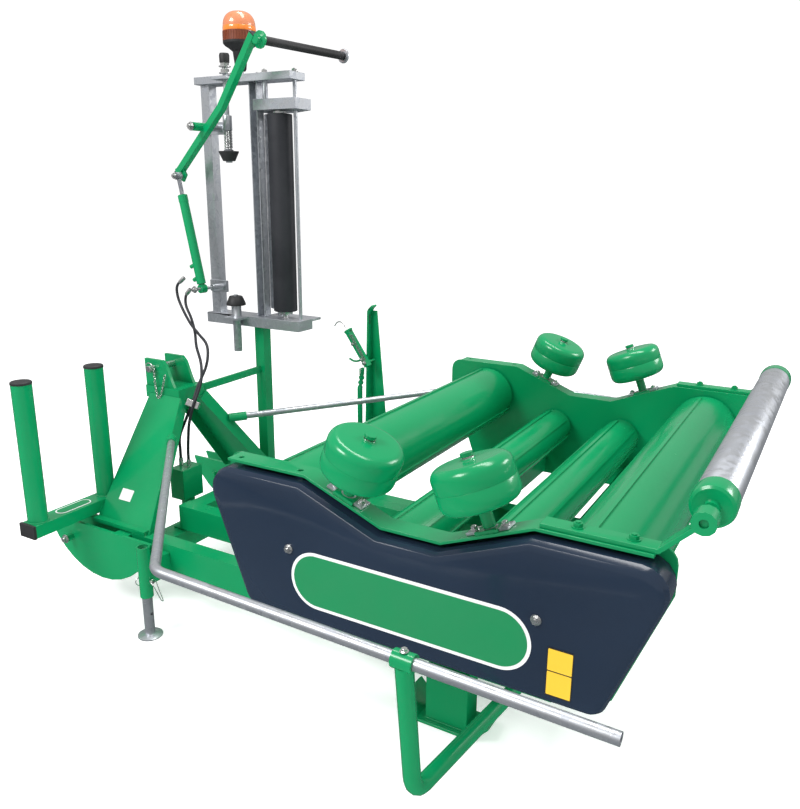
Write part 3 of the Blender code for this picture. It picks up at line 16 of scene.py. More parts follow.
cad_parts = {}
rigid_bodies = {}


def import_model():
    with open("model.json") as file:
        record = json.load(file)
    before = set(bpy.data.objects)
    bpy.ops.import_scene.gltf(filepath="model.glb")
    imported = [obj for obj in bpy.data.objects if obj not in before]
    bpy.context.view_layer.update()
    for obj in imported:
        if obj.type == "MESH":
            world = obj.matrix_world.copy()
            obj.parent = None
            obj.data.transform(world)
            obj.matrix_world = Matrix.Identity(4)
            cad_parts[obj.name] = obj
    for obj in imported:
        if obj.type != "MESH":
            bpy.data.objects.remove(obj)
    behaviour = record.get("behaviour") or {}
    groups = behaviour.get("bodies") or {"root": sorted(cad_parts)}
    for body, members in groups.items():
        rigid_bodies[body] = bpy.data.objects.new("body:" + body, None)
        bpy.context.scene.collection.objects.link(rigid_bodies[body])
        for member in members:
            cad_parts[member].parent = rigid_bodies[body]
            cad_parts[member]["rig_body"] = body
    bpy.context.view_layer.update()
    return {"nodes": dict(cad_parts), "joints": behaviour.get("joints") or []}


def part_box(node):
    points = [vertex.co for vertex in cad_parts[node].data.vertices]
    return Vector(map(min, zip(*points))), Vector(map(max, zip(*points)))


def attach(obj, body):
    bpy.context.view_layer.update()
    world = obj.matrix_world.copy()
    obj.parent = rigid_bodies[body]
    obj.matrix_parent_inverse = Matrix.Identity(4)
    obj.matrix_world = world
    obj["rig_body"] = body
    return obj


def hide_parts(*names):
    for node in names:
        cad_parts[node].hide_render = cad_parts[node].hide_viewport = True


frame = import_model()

JOINTS = {joint["name"]: joint for joint in frame["joints"]}
TABLE = Vector(JOINTS["turntable_spin"]["pos_m"])
SIDES = (("left", -1), ("right", 1))
SQUARE = ((-1, -1), (1, -1), (1, 1), (-1, 1))
ALONG, UP = Vector((0, 1, 0)), Vector((0, 0, 1))


def at(x, y, z):
    """A point measured from the turntable's axis."""
    return Vector((TABLE.x + x, y, z))


# %% [markdown]
# ## Camera
# The camera stands a little above the rollers, behind the machine's left corner, and looks forward and down.
# It could be aimed with a Track To constraint. Its three axes are written out here instead, so that the
# slight tilt of the horizon is a plain number too.

# %% Camera
YAW, PITCH, ROLL = math.radians(29.84), math.radians(15.71), math.radians(-0.477)
ahead = Vector((-math.sin(YAW) * math.cos(PITCH), math.cos(YAW) * math.cos(PITCH), -math.sin(PITCH)))
level = Vector((math.cos(YAW), math.sin(YAW), 0))
below = ahead.cross(level)
across = level * math.cos(ROLL) + below * math.sin(ROLL)
down = below * math.cos(ROLL) - level * math.sin(ROLL)
camera_data = bpy.data.cameras.new("view")
camera_data.lens = 784.91 * 36 / 809
camera_data.sensor_width = 36
camera_data.clip_end = 100
camera = bpy.data.objects.new("view", camera_data)
turn = Matrix((across, -down, -ahead)).transposed().to_4x4()
camera.matrix_world = Matrix.Translation(at(0.8426, -2.2823, 1.6047)) @ turn
bpy.context.scene.collection.objects.link(camera)
bpy.context.scene.camera = camera
print("lens", round(camera_data.lens, 2))

# %% [markdown]
# ## Shader groups
# Several finishes share the same effects: a slow change of shade over a painted sheet, the thin dust that
# settles low down, the crystals of a zinc coat, and a fine grain. Each effect could be copied into every
# material. A node group is built once and then takes its own numbers in each one.

# %% Helpers for shader trees
def shader_node(tree, kind, values=(), **settings):
    """Adds a node, sets its options, and fills or links the named inputs."""
    made = tree.nodes.new(kind)
    for name, value in settings.items():
        setattr(made, name, value)
    for name, value in dict(values).items():
        if isinstance(value, bpy.types.NodeSocket):
            tree.links.new(value, made.inputs[name])
        else:
            made.inputs[name].default_value = value
    return made


def shader_group(name, inputs, outputs, build):
    """A node group with named sockets; build gets the tree and the input sockets and returns the outputs."""
    tree = bpy.data.node_groups.new(name, "ShaderNodeTree")
    for label, kind, value in inputs:
        socket = tree.interface.new_socket(label, in_out="INPUT", socket_type="NodeSocket" + kind)
        socket.default_value = value
    for label, kind in outputs:
        tree.interface.new_socket(label, in_out="OUTPUT", socket_type="NodeSocket" + kind)
    entry = tree.nodes.new("NodeGroupInput")
    leave = tree.nodes.new("NodeGroupOutput")
    for label, socket in build(tree, entry.outputs).items():
        tree.links.new(socket, leave.inputs[label])
    return tree


def noise(tree, where, scale, detail=3.0, rough=0.55):
    return shader_node(tree, "ShaderNodeTexNoise", {"Vector": where, "Scale": scale, "Detail": detail,
                                                    "Roughness": rough})


def blend_colour(tree, factor, first, second):
    mix = tree.nodes.new("ShaderNodeMix")
    mix.data_type = "RGBA"
    for socket, value in ((mix.inputs[0], factor), (mix.inputs[6], first), (mix.inputs[7], second)):
        if isinstance(value, bpy.types.NodeSocket):
            tree.links.new(value, socket)
        else:
            socket.default_value = value
    return mix.outputs[2]


def combine(tree, operation, first, second):
    """A Math node on two values or sockets."""
    return shader_node(tree, "ShaderNodeMath", {0: first, 1: second}, operation=operation).outputs[0]


def rescale(tree, value, low, high, to_low, to_high):
    made = shader_node(tree, "ShaderNodeMapRange", {"Value": value, "From Min": low, "From Max": high,
                                                    "To Min": to_low, "To Max": to_high})
    return made.outputs["Result"]


# %% The groups
def build_coat(tree, given):
    """Paint or gel coat: slow patches of shade, uneven gloss, and orange peel."""
    where = tree.nodes.new("ShaderNodeTexCoord").outputs["Object"]
    patches = noise(tree, where, given["Patch Scale"], 2.0).outputs["Fac"]
    mask = rescale(tree, patches, 0.35, 0.65, 0.0, 1.0)
    colour = blend_colour(tree, mask, given["Colour"], given["Shade"])
    gloss = noise(tree, where, 14.0, 4.0).outputs["Fac"]
    spread = combine(tree, "MULTIPLY", given["Roughness"], 1.35)
    rough = rescale(tree, gloss, 0.3, 0.7, given["Roughness"], spread)
    peel = noise(tree, where, given["Peel Scale"], 2.0).outputs["Fac"]
    return {"Colour": colour, "Roughness": rough, "Height": peel}


def build_dust(tree, given):
    """Thin dust that lies on what faces up and thickens near the ground."""
    where = tree.nodes.new("ShaderNodeTexCoord").outputs["Object"]
    shape = tree.nodes.new("ShaderNodeNewGeometry")
    facing = shader_node(tree, "ShaderNodeSeparateXYZ", {"Vector": shape.outputs["Normal"]}).outputs["Z"]
    height = shader_node(tree, "ShaderNodeSeparateXYZ", {"Vector": where}).outputs["Z"]
    upward = rescale(tree, facing, 0.2, 1.0, 0.15, 1.0)
    low = rescale(tree, height, 0.0, 0.9, 1.0, 0.25)
    grains = rescale(tree, noise(tree, where, given["Scale"], 6.0, 0.7).outputs["Fac"], 0.42, 0.72, 0.0, 1.0)
    mask = upward
    for part in (low, grains, given["Amount"]):
        mask = combine(tree, "MULTIPLY", mask, part)
    colour = blend_colour(tree, mask, given["Colour"], (0.33, 0.30, 0.25, 1))
    rough = combine(tree, "ADD", given["Roughness"], mask)
    return {"Colour": colour, "Roughness": rough}


def build_zinc(tree, given):
    """A zinc coat: crystals of slightly different grey, with a soft streak along them."""
    where = tree.nodes.new("ShaderNodeTexCoord").outputs["Object"]
    bent = noise(tree, where, 9.0, 2.0).outputs["Color"]
    moved = shader_node(tree, "ShaderNodeVectorMath", {0: bent}, operation="SCALE")
    moved.inputs["Scale"].default_value = 0.06
    place = shader_node(tree, "ShaderNodeVectorMath", {0: where, 1: moved.outputs[0]}, operation="ADD")
    cells = shader_node(tree, "ShaderNodeTexVoronoi", {"Vector": place.outputs[0], "Scale": given["Scale"]})
    tone = shader_node(tree, "ShaderNodeSeparateColor", {"Color": cells.outputs["Color"]}).outputs["Red"]
    cloud = noise(tree, where, 6.0, 5.0).outputs["Fac"]
    mask = combine(tree, "MULTIPLY", tone, cloud)
    colour = blend_colour(tree, rescale(tree, mask, 0.05, 0.6, 0.0, 1.0), given["Colour"], given["Dark"])
    rough = rescale(tree, tone, 0.0, 1.0, given["Low Roughness"], given["High Roughness"])
    return {"Colour": colour, "Roughness": rough, "Height": tone}


def build_grain(tree, given):
    """The fine skin of moulded plastic and rubber."""
    where = tree.nodes.new("ShaderNodeTexCoord").outputs["Object"]
    fine = noise(tree, where, given["Scale"], 3.0, 0.7).outputs["Fac"]
    slow = noise(tree, where, 7.0, 3.0).outputs["Fac"]
    colour = blend_colour(tree, rescale(tree, slow, 0.35, 0.65, 0.0, 1.0), given["Colour"], given["Worn"])
    rough = rescale(tree, fine, 0.3, 0.7, given["Roughness"], 0.75)
    return {"Colour": colour, "Roughness": rough, "Height": fine}


def colour_in(name, value):
    return (name, "Color", value)


def number_in(name, value):
    return (name, "Float", value)


LOOKS = [("Colour", "Color"), ("Roughness", "Float"), ("Height", "Float")]
COAT = shader_group("coat", [colour_in("Colour", (0, .3, .1, 1)), colour_in("Shade", (0, .25, .08, 1)),
                             number_in("Patch Scale", 2.0), number_in("Roughness", .2),
                             number_in("Peel Scale", 160.0)], LOOKS, build_coat)
DUST = shader_group("dust", [colour_in("Colour", (.5, .5, .5, 1)), number_in("Roughness", .3),
                             number_in("Amount", .2), number_in("Scale", 24.0)], LOOKS[:2], build_dust)
ZINC = shader_group("zinc", [colour_in("Colour", (.6, .62, .65, 1)), colour_in("Dark", (.4, .42, .45, 1)),
                             number_in("Scale", 55.0), number_in("Low Roughness", .28),
                             number_in("High Roughness", .5)], LOOKS, build_zinc)
GRAIN = shader_group("grain", [colour_in("Colour", (.02, .02, .02, 1)), colour_in("Worn", (.04, .04, .04, 1)),
                               number_in("Scale", 900.0), number_in("Roughness", .4)], LOOKS, build_grain)
print("shader groups", [g.name for g in (COAT, DUST, ZINC, GRAIN)])

# %% [markdown]
# ## Finishes
# The frame is glossy green, the side covers are a dark slate blue, and tubes and bolts are zinc coated.
# Each finish is one material: a group makes the pattern, the dust group lays a trace of dust over it, and
# a bump turns the pattern's height into a surface that breaks up the highlights.

# %% Materials
def finish(name, group, values, metallic=0.0, bump=0.1, reach=0.0005, dust=0.15, coat=0.0, specular=0.5):
    """A Principled material fed by one of the groups."""
    made = bpy.data.materials.new(name)
    made.use_nodes = True
    tree = made.node_tree
    shader = tree.nodes["Principled BSDF"]
    look = shader_node(tree, "ShaderNodeGroup", node_tree=group)
    for label, value in values.items():
        look.inputs[label].default_value = value
    film = shader_node(tree, "ShaderNodeGroup", node_tree=DUST)
    film.inputs["Amount"].default_value = dust
    tree.links.new(look.outputs["Colour"], film.inputs["Colour"])
    tree.links.new(look.outputs["Roughness"], film.inputs["Roughness"])
    tree.links.new(film.outputs["Colour"], shader.inputs["Base Color"])
    tree.links.new(film.outputs["Roughness"], shader.inputs["Roughness"])
    relief = shader_node(tree, "ShaderNodeBump", {"Strength": bump, "Distance": reach,
                                                  "Height": look.outputs["Height"]})
    tree.links.new(relief.outputs["Normal"], shader.inputs["Normal"])
    shader.inputs["Metallic"].default_value = metallic
    shader.inputs["Coat Weight"].default_value = coat
    shader.inputs["Coat Roughness"].default_value = 0.05
    shader.inputs["Specular IOR Level"].default_value = specular
    return made


def paint(name, colour, shade, rough=0.20, dust=0.03, coat=0.15):
    return finish(name, COAT, {"Colour": (*colour, 1), "Shade": (*shade, 1), "Roughness": rough}, bump=0.06,
                  dust=dust, coat=coat, specular=0.42)


GREEN = paint("green_paint", (0.0006, 0.262, 0.092), (0.0006, 0.246, 0.084))
PANEL = paint("panel_moulding", (0.0150, 0.0270, 0.0500), (0.0120, 0.0225, 0.0430), rough=0.16, dust=0.01,
              coat=0.0)
WHITE = paint("white_plate", (0.80, 0.81, 0.82), (0.76, 0.77, 0.78), rough=0.35, coat=0.0)
PLATE_GREEN = paint("green_plate", (0.0020, 0.235, 0.080), (0.0020, 0.225, 0.075), rough=0.35, coat=0.0)
YELLOW = paint("yellow_plate", (0.82, 0.52, 0.02), (0.78, 0.49, 0.02), rough=0.35, coat=0.0)
GALVANISED = finish("galvanised", ZINC, {"Colour": (.62, .64, .67, 1), "Dark": (.43, .45, .49, 1)},
                    metallic=0.85, bump=0.10, dust=0.06)
BRIGHT = finish("bright_zinc", ZINC, {"Colour": (.78, .78, .77, 1), "Dark": (.60, .60, .60, 1), "Scale": 160.0,
                                      "Low Roughness": .18, "High Roughness": .32}, metallic=0.95, bump=0.05,
                dust=0.04)
BLACK = finish("black_plastic", GRAIN, {"Colour": (.012, .012, .013, 1), "Worn": (.022, .022, .024, 1)},
               bump=0.25, reach=0.0003, dust=0.08)
RUBBER = finish("black_rubber", GRAIN, {"Colour": (.010, .011, .016, 1), "Worn": (.020, .021, .027, 1),
                                        "Scale": 500.0, "Roughness": .38}, bump=0.3, reach=0.0004, dust=0.08)
AMBER = finish("amber_lens", GRAIN, {"Colour": (.85, .22, .015, 1), "Worn": (.80, .19, .012, 1),
                                     "Scale": 60.0, "Roughness": .08}, bump=0.05, dust=0.0, coat=1.0)
# The band below the ring is the same amber lens darkened: amber with painted shade.
AMBER_IN_PAINTED_SHADE = finish("amber_band_painted_shade", GRAIN, {"Colour": (.20, .036, .006, 1), "Worn": (.16, .028, .005, 1),
                                          "Scale": 80.0, "Roughness": .2}, bump=0.1, dust=0.0, coat=0.6)
# The dome is the same amber lens made paler: amber with a painted sheen of the light from above.
AMBER_WITH_PAINTED_SHEEN = finish("amber_lens_painted_sheen", GRAIN, {"Colour": (.62, .205, .085, 1), "Worn": (.57, .18, .07, 1),
                                               "Scale": 60.0, "Roughness": .12}, bump=0.05, dust=0.0, coat=0.8)

# %% [markdown]
# ## Hoses
# Two hydraulic hoses feed the film arm's cylinder. A free hose is a fixed length of something bendy, so it is a
# curve through given points, the same as in the imported model. Its thickness is the curve's own bevel. A sweep of
# a modelled braid would look the same from here and weigh far more.

# %% Hoses
HOSE_RADIUS = 0.006
HOSE_ROUTES = (
    ((-1.733, 0.276, 1.196), (-1.765, 0.262, 1.160), (-1.758, 0.255, 1.110), (-1.715, 0.240, 1.055),
     (-1.625, 0.190, 1.010), (-1.535, 0.140, 0.985), (-1.450, 0.098, 0.950), (-1.424, 0.062, 0.880),
     (-1.424, 0.005, 0.800), (-1.424, -0.030, 0.740), (-1.450, -0.050, 0.665), (-1.484, -0.055, 0.590),
     (-1.484, -0.058, 0.530), (-1.484, -0.058, 0.4654)),
    ((-1.700, 0.276, 1.148), (-1.722, 0.268, 1.118), (-1.715, 0.258, 1.075), (-1.665, 0.235, 1.025),
     (-1.590, 0.175, 0.980), (-1.510, 0.098, 0.940), (-1.418, 0.024, 0.895), (-1.393, -0.005, 0.835),
     (-1.394, -0.030, 0.780), (-1.400, -0.052, 0.735), (-1.418, -0.063, 0.660), (-1.432, -0.060, 0.590),
     (-1.440, -0.058, 0.530), (-1.440, -0.058, 0.4654)),
)


ROUTE_STEPS = 5


def smooth_route(points):
    """A smooth run of points through the chosen ones."""
    ends = [points[0] * 2 - points[1]] + points + [points[-1] * 2 - points[-2]]
    out = []
    for a, b, c, d in zip(ends, ends[1:], ends[2:], ends[3:]):
        for i in range(ROUTE_STEPS):
            t = i / ROUTE_STEPS
            out.append(0.5 * (2 * b + (c - a) * t + (2 * a - 5 * b + 4 * c - d) * t * t
                              + (3 * b - a - 3 * c + d) * t ** 3))
    return out + [points[-1]]


hose_lines = []
for number, route in enumerate(HOSE_ROUTES, 1):
    line = smooth_route([at(*p) for p in route])
    curve = bpy.data.curves.new("pressure_hose_%d" % number, "CURVE")
    curve.dimensions = "3D"
    curve.bevel_depth = HOSE_RADIUS
    curve.bevel_resolution = 6
    curve.use_fill_caps = True
    spline = curve.splines.new("POLY")
    spline.points.add(len(line) - 1)
    for point, place in zip(spline.points, line):
        point.co = (*place, 1)
    spline.use_smooth = True
    curve.materials.append(RUBBER)
    hose = bpy.data.objects.new("pressure_hose_%d" % number, curve)
    bpy.context.scene.collection.objects.link(hose)
    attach(hose, "base")
    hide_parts("hose_%d" % number)
    hose_lines.append(line)

# %% [markdown]
# ## Helpers for shapes
# Most pieces are turned on an axis or cut from plate. A turned piece could be a Screw modifier on a drawn
# line. A short function that spins a list of radii does the same and puts the piece straight in its place,
# so its object can stay at the origin.

# %% Shape helpers
EDGE_STEPS = 2


def show(name, mesh, material, body, smooth_below=35, replaces=(), bevel=0.0):
    """Puts a mesh in the scene as a finished piece on its body."""
    mesh.name = name
    mesh.materials.clear()
    mesh.materials.append(material)
    mesh.shade_smooth()
    mesh.set_sharp_from_angle(angle=math.radians(smooth_below))
    piece = bpy.data.objects.new(name, mesh)
    bpy.context.scene.collection.objects.link(piece)
    if bevel:
        edge = piece.modifiers.new("round_edges", "BEVEL")
        edge.width = bevel
        edge.segments = EDGE_STEPS
        edge.limit_method = "ANGLE"
        edge.angle_limit = math.radians(36)
        edge.harden_normals = True
    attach(piece, body)
    if replaces:
        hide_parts(*replaces)
    return piece


def mesh_of(points, faces):
    """A mesh from points and faces."""
    mesh = bpy.data.meshes.new("shape")
    mesh.from_pydata([tuple(p) for p in points], [], faces)
    return mesh


def joined(*meshes):
    """Several closed shells as one mesh."""
    points, faces = [], []
    for mesh in meshes:
        start = len(points)
        points += [v.co.copy() for v in mesh.vertices]
        faces += [[start + i for i in p.vertices] for p in mesh.polygons]
        bpy.data.meshes.remove(mesh)
    return mesh_of(points, faces)


def frame_of(way):
    """Two directions across a given one."""
    way = Vector(way).normalized()
    first = way.cross(Vector((0, 0, 1)) if abs(way.z) < 0.9 else Vector((1, 0, 0))).normalized()
    return way, first, way.cross(first)


def turned(profile, start, way, sides=48):
    """A closed shape turned about an axis; profile lists (distance along, radius) from end to end."""
    way, first, second = frame_of(way)
    start = Vector(start)
    rings, points = [], []
    for along, radius in profile:
        if radius < 1e-6:
            rings.append([len(points)])
            points.append(start + way * along)
            continue
        rings.append(list(range(len(points), len(points) + sides)))
        for i in range(sides):
            angle = 2 * math.pi * i / sides
            points.append(start + way * along + (first * math.cos(angle) + second * math.sin(angle)) * radius)
    faces = []
    for a, b in zip(rings, rings[1:]):
        for i in range(sides):
            j = (i + 1) % sides
            if len(a) == 1 and len(b) == 1:
                continue
            if len(a) == 1:
                faces.append((a[0], b[i], b[j]))
            elif len(b) == 1:
                faces.append((a[i], b[0], a[j]))
            else:
                faces.append((a[i], b[i], b[j], a[j]))
    if len(rings[0]) > 1:
        faces.append(tuple(rings[0]))
    if len(rings[-1]) > 1:
        faces.append(tuple(reversed(rings[-1])))
    return outward(mesh_of(points, faces))


def outward(mesh):
    """The mesh with its faces turned outwards."""
    body = bmesh.new()
    body.from_mesh(mesh)
    bmesh.ops.recalc_face_normals(body, faces=body.faces)
    body.to_mesh(mesh)
    body.free()
    return mesh


def slab(outline, depth):
    """A flat outline pushed along a vector."""
    outline = [Vector(p) for p in outline]
    n = len(outline)
    points = outline + [p + Vector(depth) for p in outline]
    faces = [tuple(range(n)), tuple(range(2 * n - 1, n - 1, -1))]
    faces += [(i, (i + 1) % n, (i + 1) % n + n, i + n) for i in range(n)]
    return outward(mesh_of(points, faces))


def rounded_plate(centre, right, up, width, height, corner, thick, steps=10):
    """A plate with round corners, standing on the side its normal points to."""
    right, up = Vector(right).normalized(), Vector(up).normalized()
    outline = []
    for k, (sx, sy) in enumerate(((1, 1), (-1, 1), (-1, -1), (1, -1))):
        middle = right * sx * (width / 2 - corner) + up * sy * (height / 2 - corner)
        for i in range(steps + 1):
            angle = math.pi / 2 * (k + i / steps)
            arc = (right * math.cos(angle) + up * math.sin(angle)) * corner
            outline.append(Vector(centre) + middle + arc)
    return slab(outline, right.cross(up) * thick)


def swept(path, radius, sides=24, hollow=0.0):
    """A round tube along a list of points."""
    path = [Vector(p) for p in path]
    ways = [(b - a).normalized() for a, b in zip(path, path[1:])]
    ways = [ways[0]] + [(a + b).normalized() for a, b in zip(ways, ways[1:])] + [ways[-1]]
    _, first, _ = frame_of(ways[0])
    points, rings = [], []
    for place, way in zip(path, ways):
        first = (first - way * first.dot(way)).normalized()
        second = way.cross(first)
        rings.append(list(range(len(points), len(points) + sides)))
        for i in range(sides):
            angle = 2 * math.pi * i / sides
            points.append(place + (first * math.cos(angle) + second * math.sin(angle)) * radius)
    if hollow:
        for deep in (0.0, 0.05):
            rings.append(list(range(len(points), len(points) + sides)))
            points += [path[-1] - ways[-1] * deep + (points[k] - path[-1]).normalized() * hollow
                       for k in rings[len(path) - 1]]
    faces = [(a[i], a[(i + 1) % sides], b[(i + 1) % sides], b[i]) for a, b in zip(rings, rings[1:])
             for i in range(sides)]
    faces += [tuple(reversed(rings[0])), tuple(rings[-1])]
    return outward(mesh_of(points, faces))


def ring_points(count):
    """The angles of a closed ring of points, with the first one repeated."""
    return [2 * math.pi * i / count for i in range(count + 1)]


print("helpers ready")

# %% [markdown]
# ## Plates, beams and castings
# The welded pieces already have their true shape, but their edges are knife sharp. Sheet and tube always
# have a small radius that catches the light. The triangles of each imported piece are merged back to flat
# faces on a copy, and a Bevel modifier rounds what is left. Modelling every edge again would gain nothing.

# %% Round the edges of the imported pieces
def rounded(node, material, width):
    """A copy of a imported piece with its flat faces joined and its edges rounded."""
    source = frame["nodes"][node]
    body = bmesh.new()
    body.from_mesh(source.data)
    bmesh.ops.remove_doubles(body, verts=body.verts, dist=0.00002)
    bmesh.ops.dissolve_limit(body, angle_limit=math.radians(0.6), verts=body.verts, edges=body.edges)
    mesh = bpy.data.meshes.new(node)
    body.to_mesh(mesh)
    body.free()
    return show(node + "_part", mesh, material, source["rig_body"], 33, (node,), bevel=width)


ROUNDED = {
    0.003: "side_panel_left side_panel_right",
    0.0022: "chassis tilt_frame turntable_frame headstock roll_rack rear_foot_left rear_foot_right mast "
            "film_arm unload_arm_left unload_arm_right side_plate_left side_plate_right valve_block",
    0.0015: "link_bracket_left link_bracket_right bar_bracket_left bar_bracket_right cutter_post cutter_arm "
            "arm_barrel tilt_barrel dispenser_channel dispenser_lower_arm dispenser_tube dispenser_upper_arm "
            "gear_cover arm_rod tilt_rod tilt_pin",
}
ZINC_NODES = ("dispenser_channel dispenser_lower_arm dispenser_tube dispenser_upper_arm gear_cover arm_rod "
              "tilt_rod tilt_pin").split()
count = 0
for width, names in ROUNDED.items():
    for node in names.split():
        finish_of = PANEL if "panel" in node else GALVANISED if node in ZINC_NODES else GREEN
        rounded(node, finish_of, width)
        count += 1
print("rounded", count, "pieces")

# %% [markdown]
# ## Geometry Nodes for what repeats
# Bolts, ribs, weld beads and coils are one small shape set out many times. They could be placed one by one.
# A node tree sets them out from a few named sizes, and its result is turned into a plain mesh.

# %% Helpers for geometry trees
def geometry_tree(name, inputs, build):
    """A Geometry Nodes tree; build gets the tree and the inputs and returns the last geometry socket."""
    tree = bpy.data.node_groups.new(name, "GeometryNodeTree")
    tree.is_modifier = True
    tree.interface.new_socket("Geometry", in_out="INPUT", socket_type="NodeSocketGeometry")
    for label, kind in inputs:
        tree.interface.new_socket(label, in_out="INPUT", socket_type="NodeSocket" + kind)
    tree.interface.new_socket("Material", in_out="INPUT", socket_type="NodeSocketMaterial")
    tree.interface.new_socket("Geometry", in_out="OUTPUT", socket_type="NodeSocketGeometry")
    entry = tree.nodes.new("NodeGroupInput")
    leave = tree.nodes.new("NodeGroupOutput")
    last = build(tree, entry.outputs)
    real = shader_node(tree, "GeometryNodeRealizeInstances", {"Geometry": last})
    coat = shader_node(tree, "GeometryNodeSetMaterial", {"Geometry": real.outputs[0],
                                                         "Material": entry.outputs["Material"]})
    tree.links.new(coat.outputs[0], leave.inputs[0])
    return tree


def grown(tree, name, material, body, values, host=None, smooth_below=35):
    """Runs a tree on a host mesh and shows the result as a plain piece."""
    holder = bpy.data.objects.new("holder", host or mesh_of([(0, 0, 0)], []))
    bpy.context.scene.collection.objects.link(holder)
    modifier = holder.modifiers.new("grow", "NODES")
    modifier.node_group = tree
    sockets = {item.name: item.identifier for item in tree.interface.items_tree if item.in_out == "INPUT"}
    for label, value in values.items():
        modifier[sockets[label]] = value
    modifier[sockets["Material"]] = material
    holder.update_tag()
    bpy.context.view_layer.update()
    graph = bpy.context.evaluated_depsgraph_get()
    mesh = bpy.data.meshes.new_from_object(holder.evaluated_get(graph))
    bpy.data.objects.remove(holder)
    return show(name, mesh, material, body, smooth_below)


def cylinder_node(tree, sides, radius, depth, height):
    """A solid cylinder standing with its foot at a height."""
    made = shader_node(tree, "GeometryNodeMeshCylinder", {"Vertices": sides, "Radius": radius, "Depth": depth})
    moved = shader_node(tree, "GeometryNodeTransform", {"Geometry": made.outputs["Mesh"]})
    moved.inputs["Translation"].default_value = (0, 0, height + depth / 2)
    return moved.outputs[0]


def join_node(tree, *sockets):
    """Several geometries as one."""
    made = tree.nodes.new("GeometryNodeJoinGeometry")
    for socket in sockets:
        tree.links.new(socket, made.inputs[0])
    return made.outputs[0]


# %% Bolts with washers
def build_bolts(tree, given):
    """A hexagon bolt and its washer on every point, along the point's way and at its size."""
    bolt = join_node(tree, cylinder_node(tree, 28, 1.35, 0.22, 0.0), cylinder_node(tree, 6, 1.0, 0.75, 0.22),
                     cylinder_node(tree, 16, 0.55, 0.30, 0.97))
    way = shader_node(tree, "GeometryNodeInputNamedAttribute", {"Name": "way"}, data_type="FLOAT_VECTOR")
    size = shader_node(tree, "GeometryNodeInputNamedAttribute", {"Name": "size"}, data_type="FLOAT")
    turn_node = shader_node(tree, "FunctionNodeAlignRotationToVector", {"Vector": way.outputs["Attribute"]},
                            axis="Z")
    scale = combine(tree, "MULTIPLY", size.outputs["Attribute"], given["Scale"])
    points = shader_node(tree, "GeometryNodeMeshToPoints", {"Mesh": given["Geometry"]})
    placed = shader_node(tree, "GeometryNodeInstanceOnPoints", {
        "Points": points.outputs[0], "Instance": bolt, "Rotation": turn_node.outputs[0],
        "Scale": scale})
    return placed.outputs[0]


BOLTS = geometry_tree("bolts", [("Scale", "Float")], build_bolts)


def bolts(name, body, places, material=None):
    """places lists (point, direction, half width of the head)."""
    host = mesh_of([p for p, _, _ in places], [])
    host.attributes.new("way", "FLOAT_VECTOR", "POINT")
    host.attributes.new("size", "FLOAT", "POINT")
    for i, (_, direction, half) in enumerate(places):
        host.attributes["way"].data[i].vector = Vector(direction).normalized()
        host.attributes["size"].data[i].value = half
    piece = grown(BOLTS, name, material or BRIGHT, body, {"Scale": 1.0}, host)
    print(name, len(places), "bolts")
    return piece


# %% Bars set out round an axis
def build_ring(tree, given):
    """Straight bars on a circle, lying along its axis, then turned and moved into place."""
    circle = shader_node(tree, "GeometryNodeMeshCircle", {"Vertices": given["Count"], "Radius": given["Radius"]})
    size = shader_node(tree, "ShaderNodeCombineXYZ", {"X": given["Height"], "Y": given["Width"],
                                                      "Z": given["Length"]})
    strip = shader_node(tree, "GeometryNodeMeshCube", {"Size": size.outputs[0]})
    place = tree.nodes.new("GeometryNodeInputPosition")
    spin = shader_node(tree, "FunctionNodeAlignRotationToVector", {"Vector": place.outputs[0]}, axis="X",
                       pivot_axis="Z")
    points = shader_node(tree, "GeometryNodeMeshToPoints", {"Mesh": circle.outputs[0]})
    placed = shader_node(tree, "GeometryNodeInstanceOnPoints", {
        "Points": points.outputs[0], "Instance": strip.outputs["Mesh"], "Rotation": spin.outputs[0]})
    moved = shader_node(tree, "GeometryNodeTransform", {"Geometry": placed.outputs[0],
                                                        "Translation": given["Centre"],
                                                        "Rotation": given["Turn"]})
    return moved.outputs[0]


RING = geometry_tree("ring_of_bars", [("Count", "Int"), ("Radius", "Float"), ("Height", "Float"),
                                      ("Width", "Float"), ("Length", "Float"), ("Centre", "Vector"),
                                      ("Turn", "Vector")], build_ring)


# %% Beads along a line
def build_beads(tree, given):
    """Flattened drops, close together along a line, like the ripples of a weld."""
    line = shader_node(tree, "GeometryNodeMeshToCurve", {"Mesh": given["Geometry"]})
    even = shader_node(tree, "GeometryNodeResampleCurve", {"Curve": line.outputs[0], "Length": given["Step"]},
                       mode="LENGTH")
    drop = shader_node(tree, "GeometryNodeMeshUVSphere", {"Segments": 8, "Rings": 5, "Radius": given["Radius"]})
    placed = shader_node(tree, "GeometryNodeInstanceOnPoints", {"Points": even.outputs[0],
                                                                "Instance": drop.outputs["Mesh"]})
    return placed.outputs[0]


BEADS = geometry_tree("weld_beads", [("Step", "Float"), ("Radius", "Float")], build_beads)


# %% Coils of wire
def build_coil(tree, given):
    """A wire wound on an upright axis."""
    spiral = shader_node(tree, "GeometryNodeCurveSpiral", {
        "Resolution": 18, "Rotations": given["Turns"], "Start Radius": given["Radius"],
        "End Radius": given["Radius"], "Height": given["Height"]})
    ring = shader_node(tree, "GeometryNodeCurvePrimitiveCircle", {"Resolution": 8, "Radius": given["Wire"]})
    wire = shader_node(tree, "GeometryNodeCurveToMesh", {"Curve": spiral.outputs[0],
                                                         "Profile Curve": ring.outputs[0], "Fill Caps": True})
    moved = shader_node(tree, "GeometryNodeTransform", {"Geometry": wire.outputs[0],
                                                        "Translation": given["Centre"]})
    return moved.outputs[0]


COIL = geometry_tree("coil", [("Turns", "Float"), ("Radius", "Float"), ("Height", "Float"), ("Wire", "Float"),
                              ("Centre", "Vector")], build_coil)


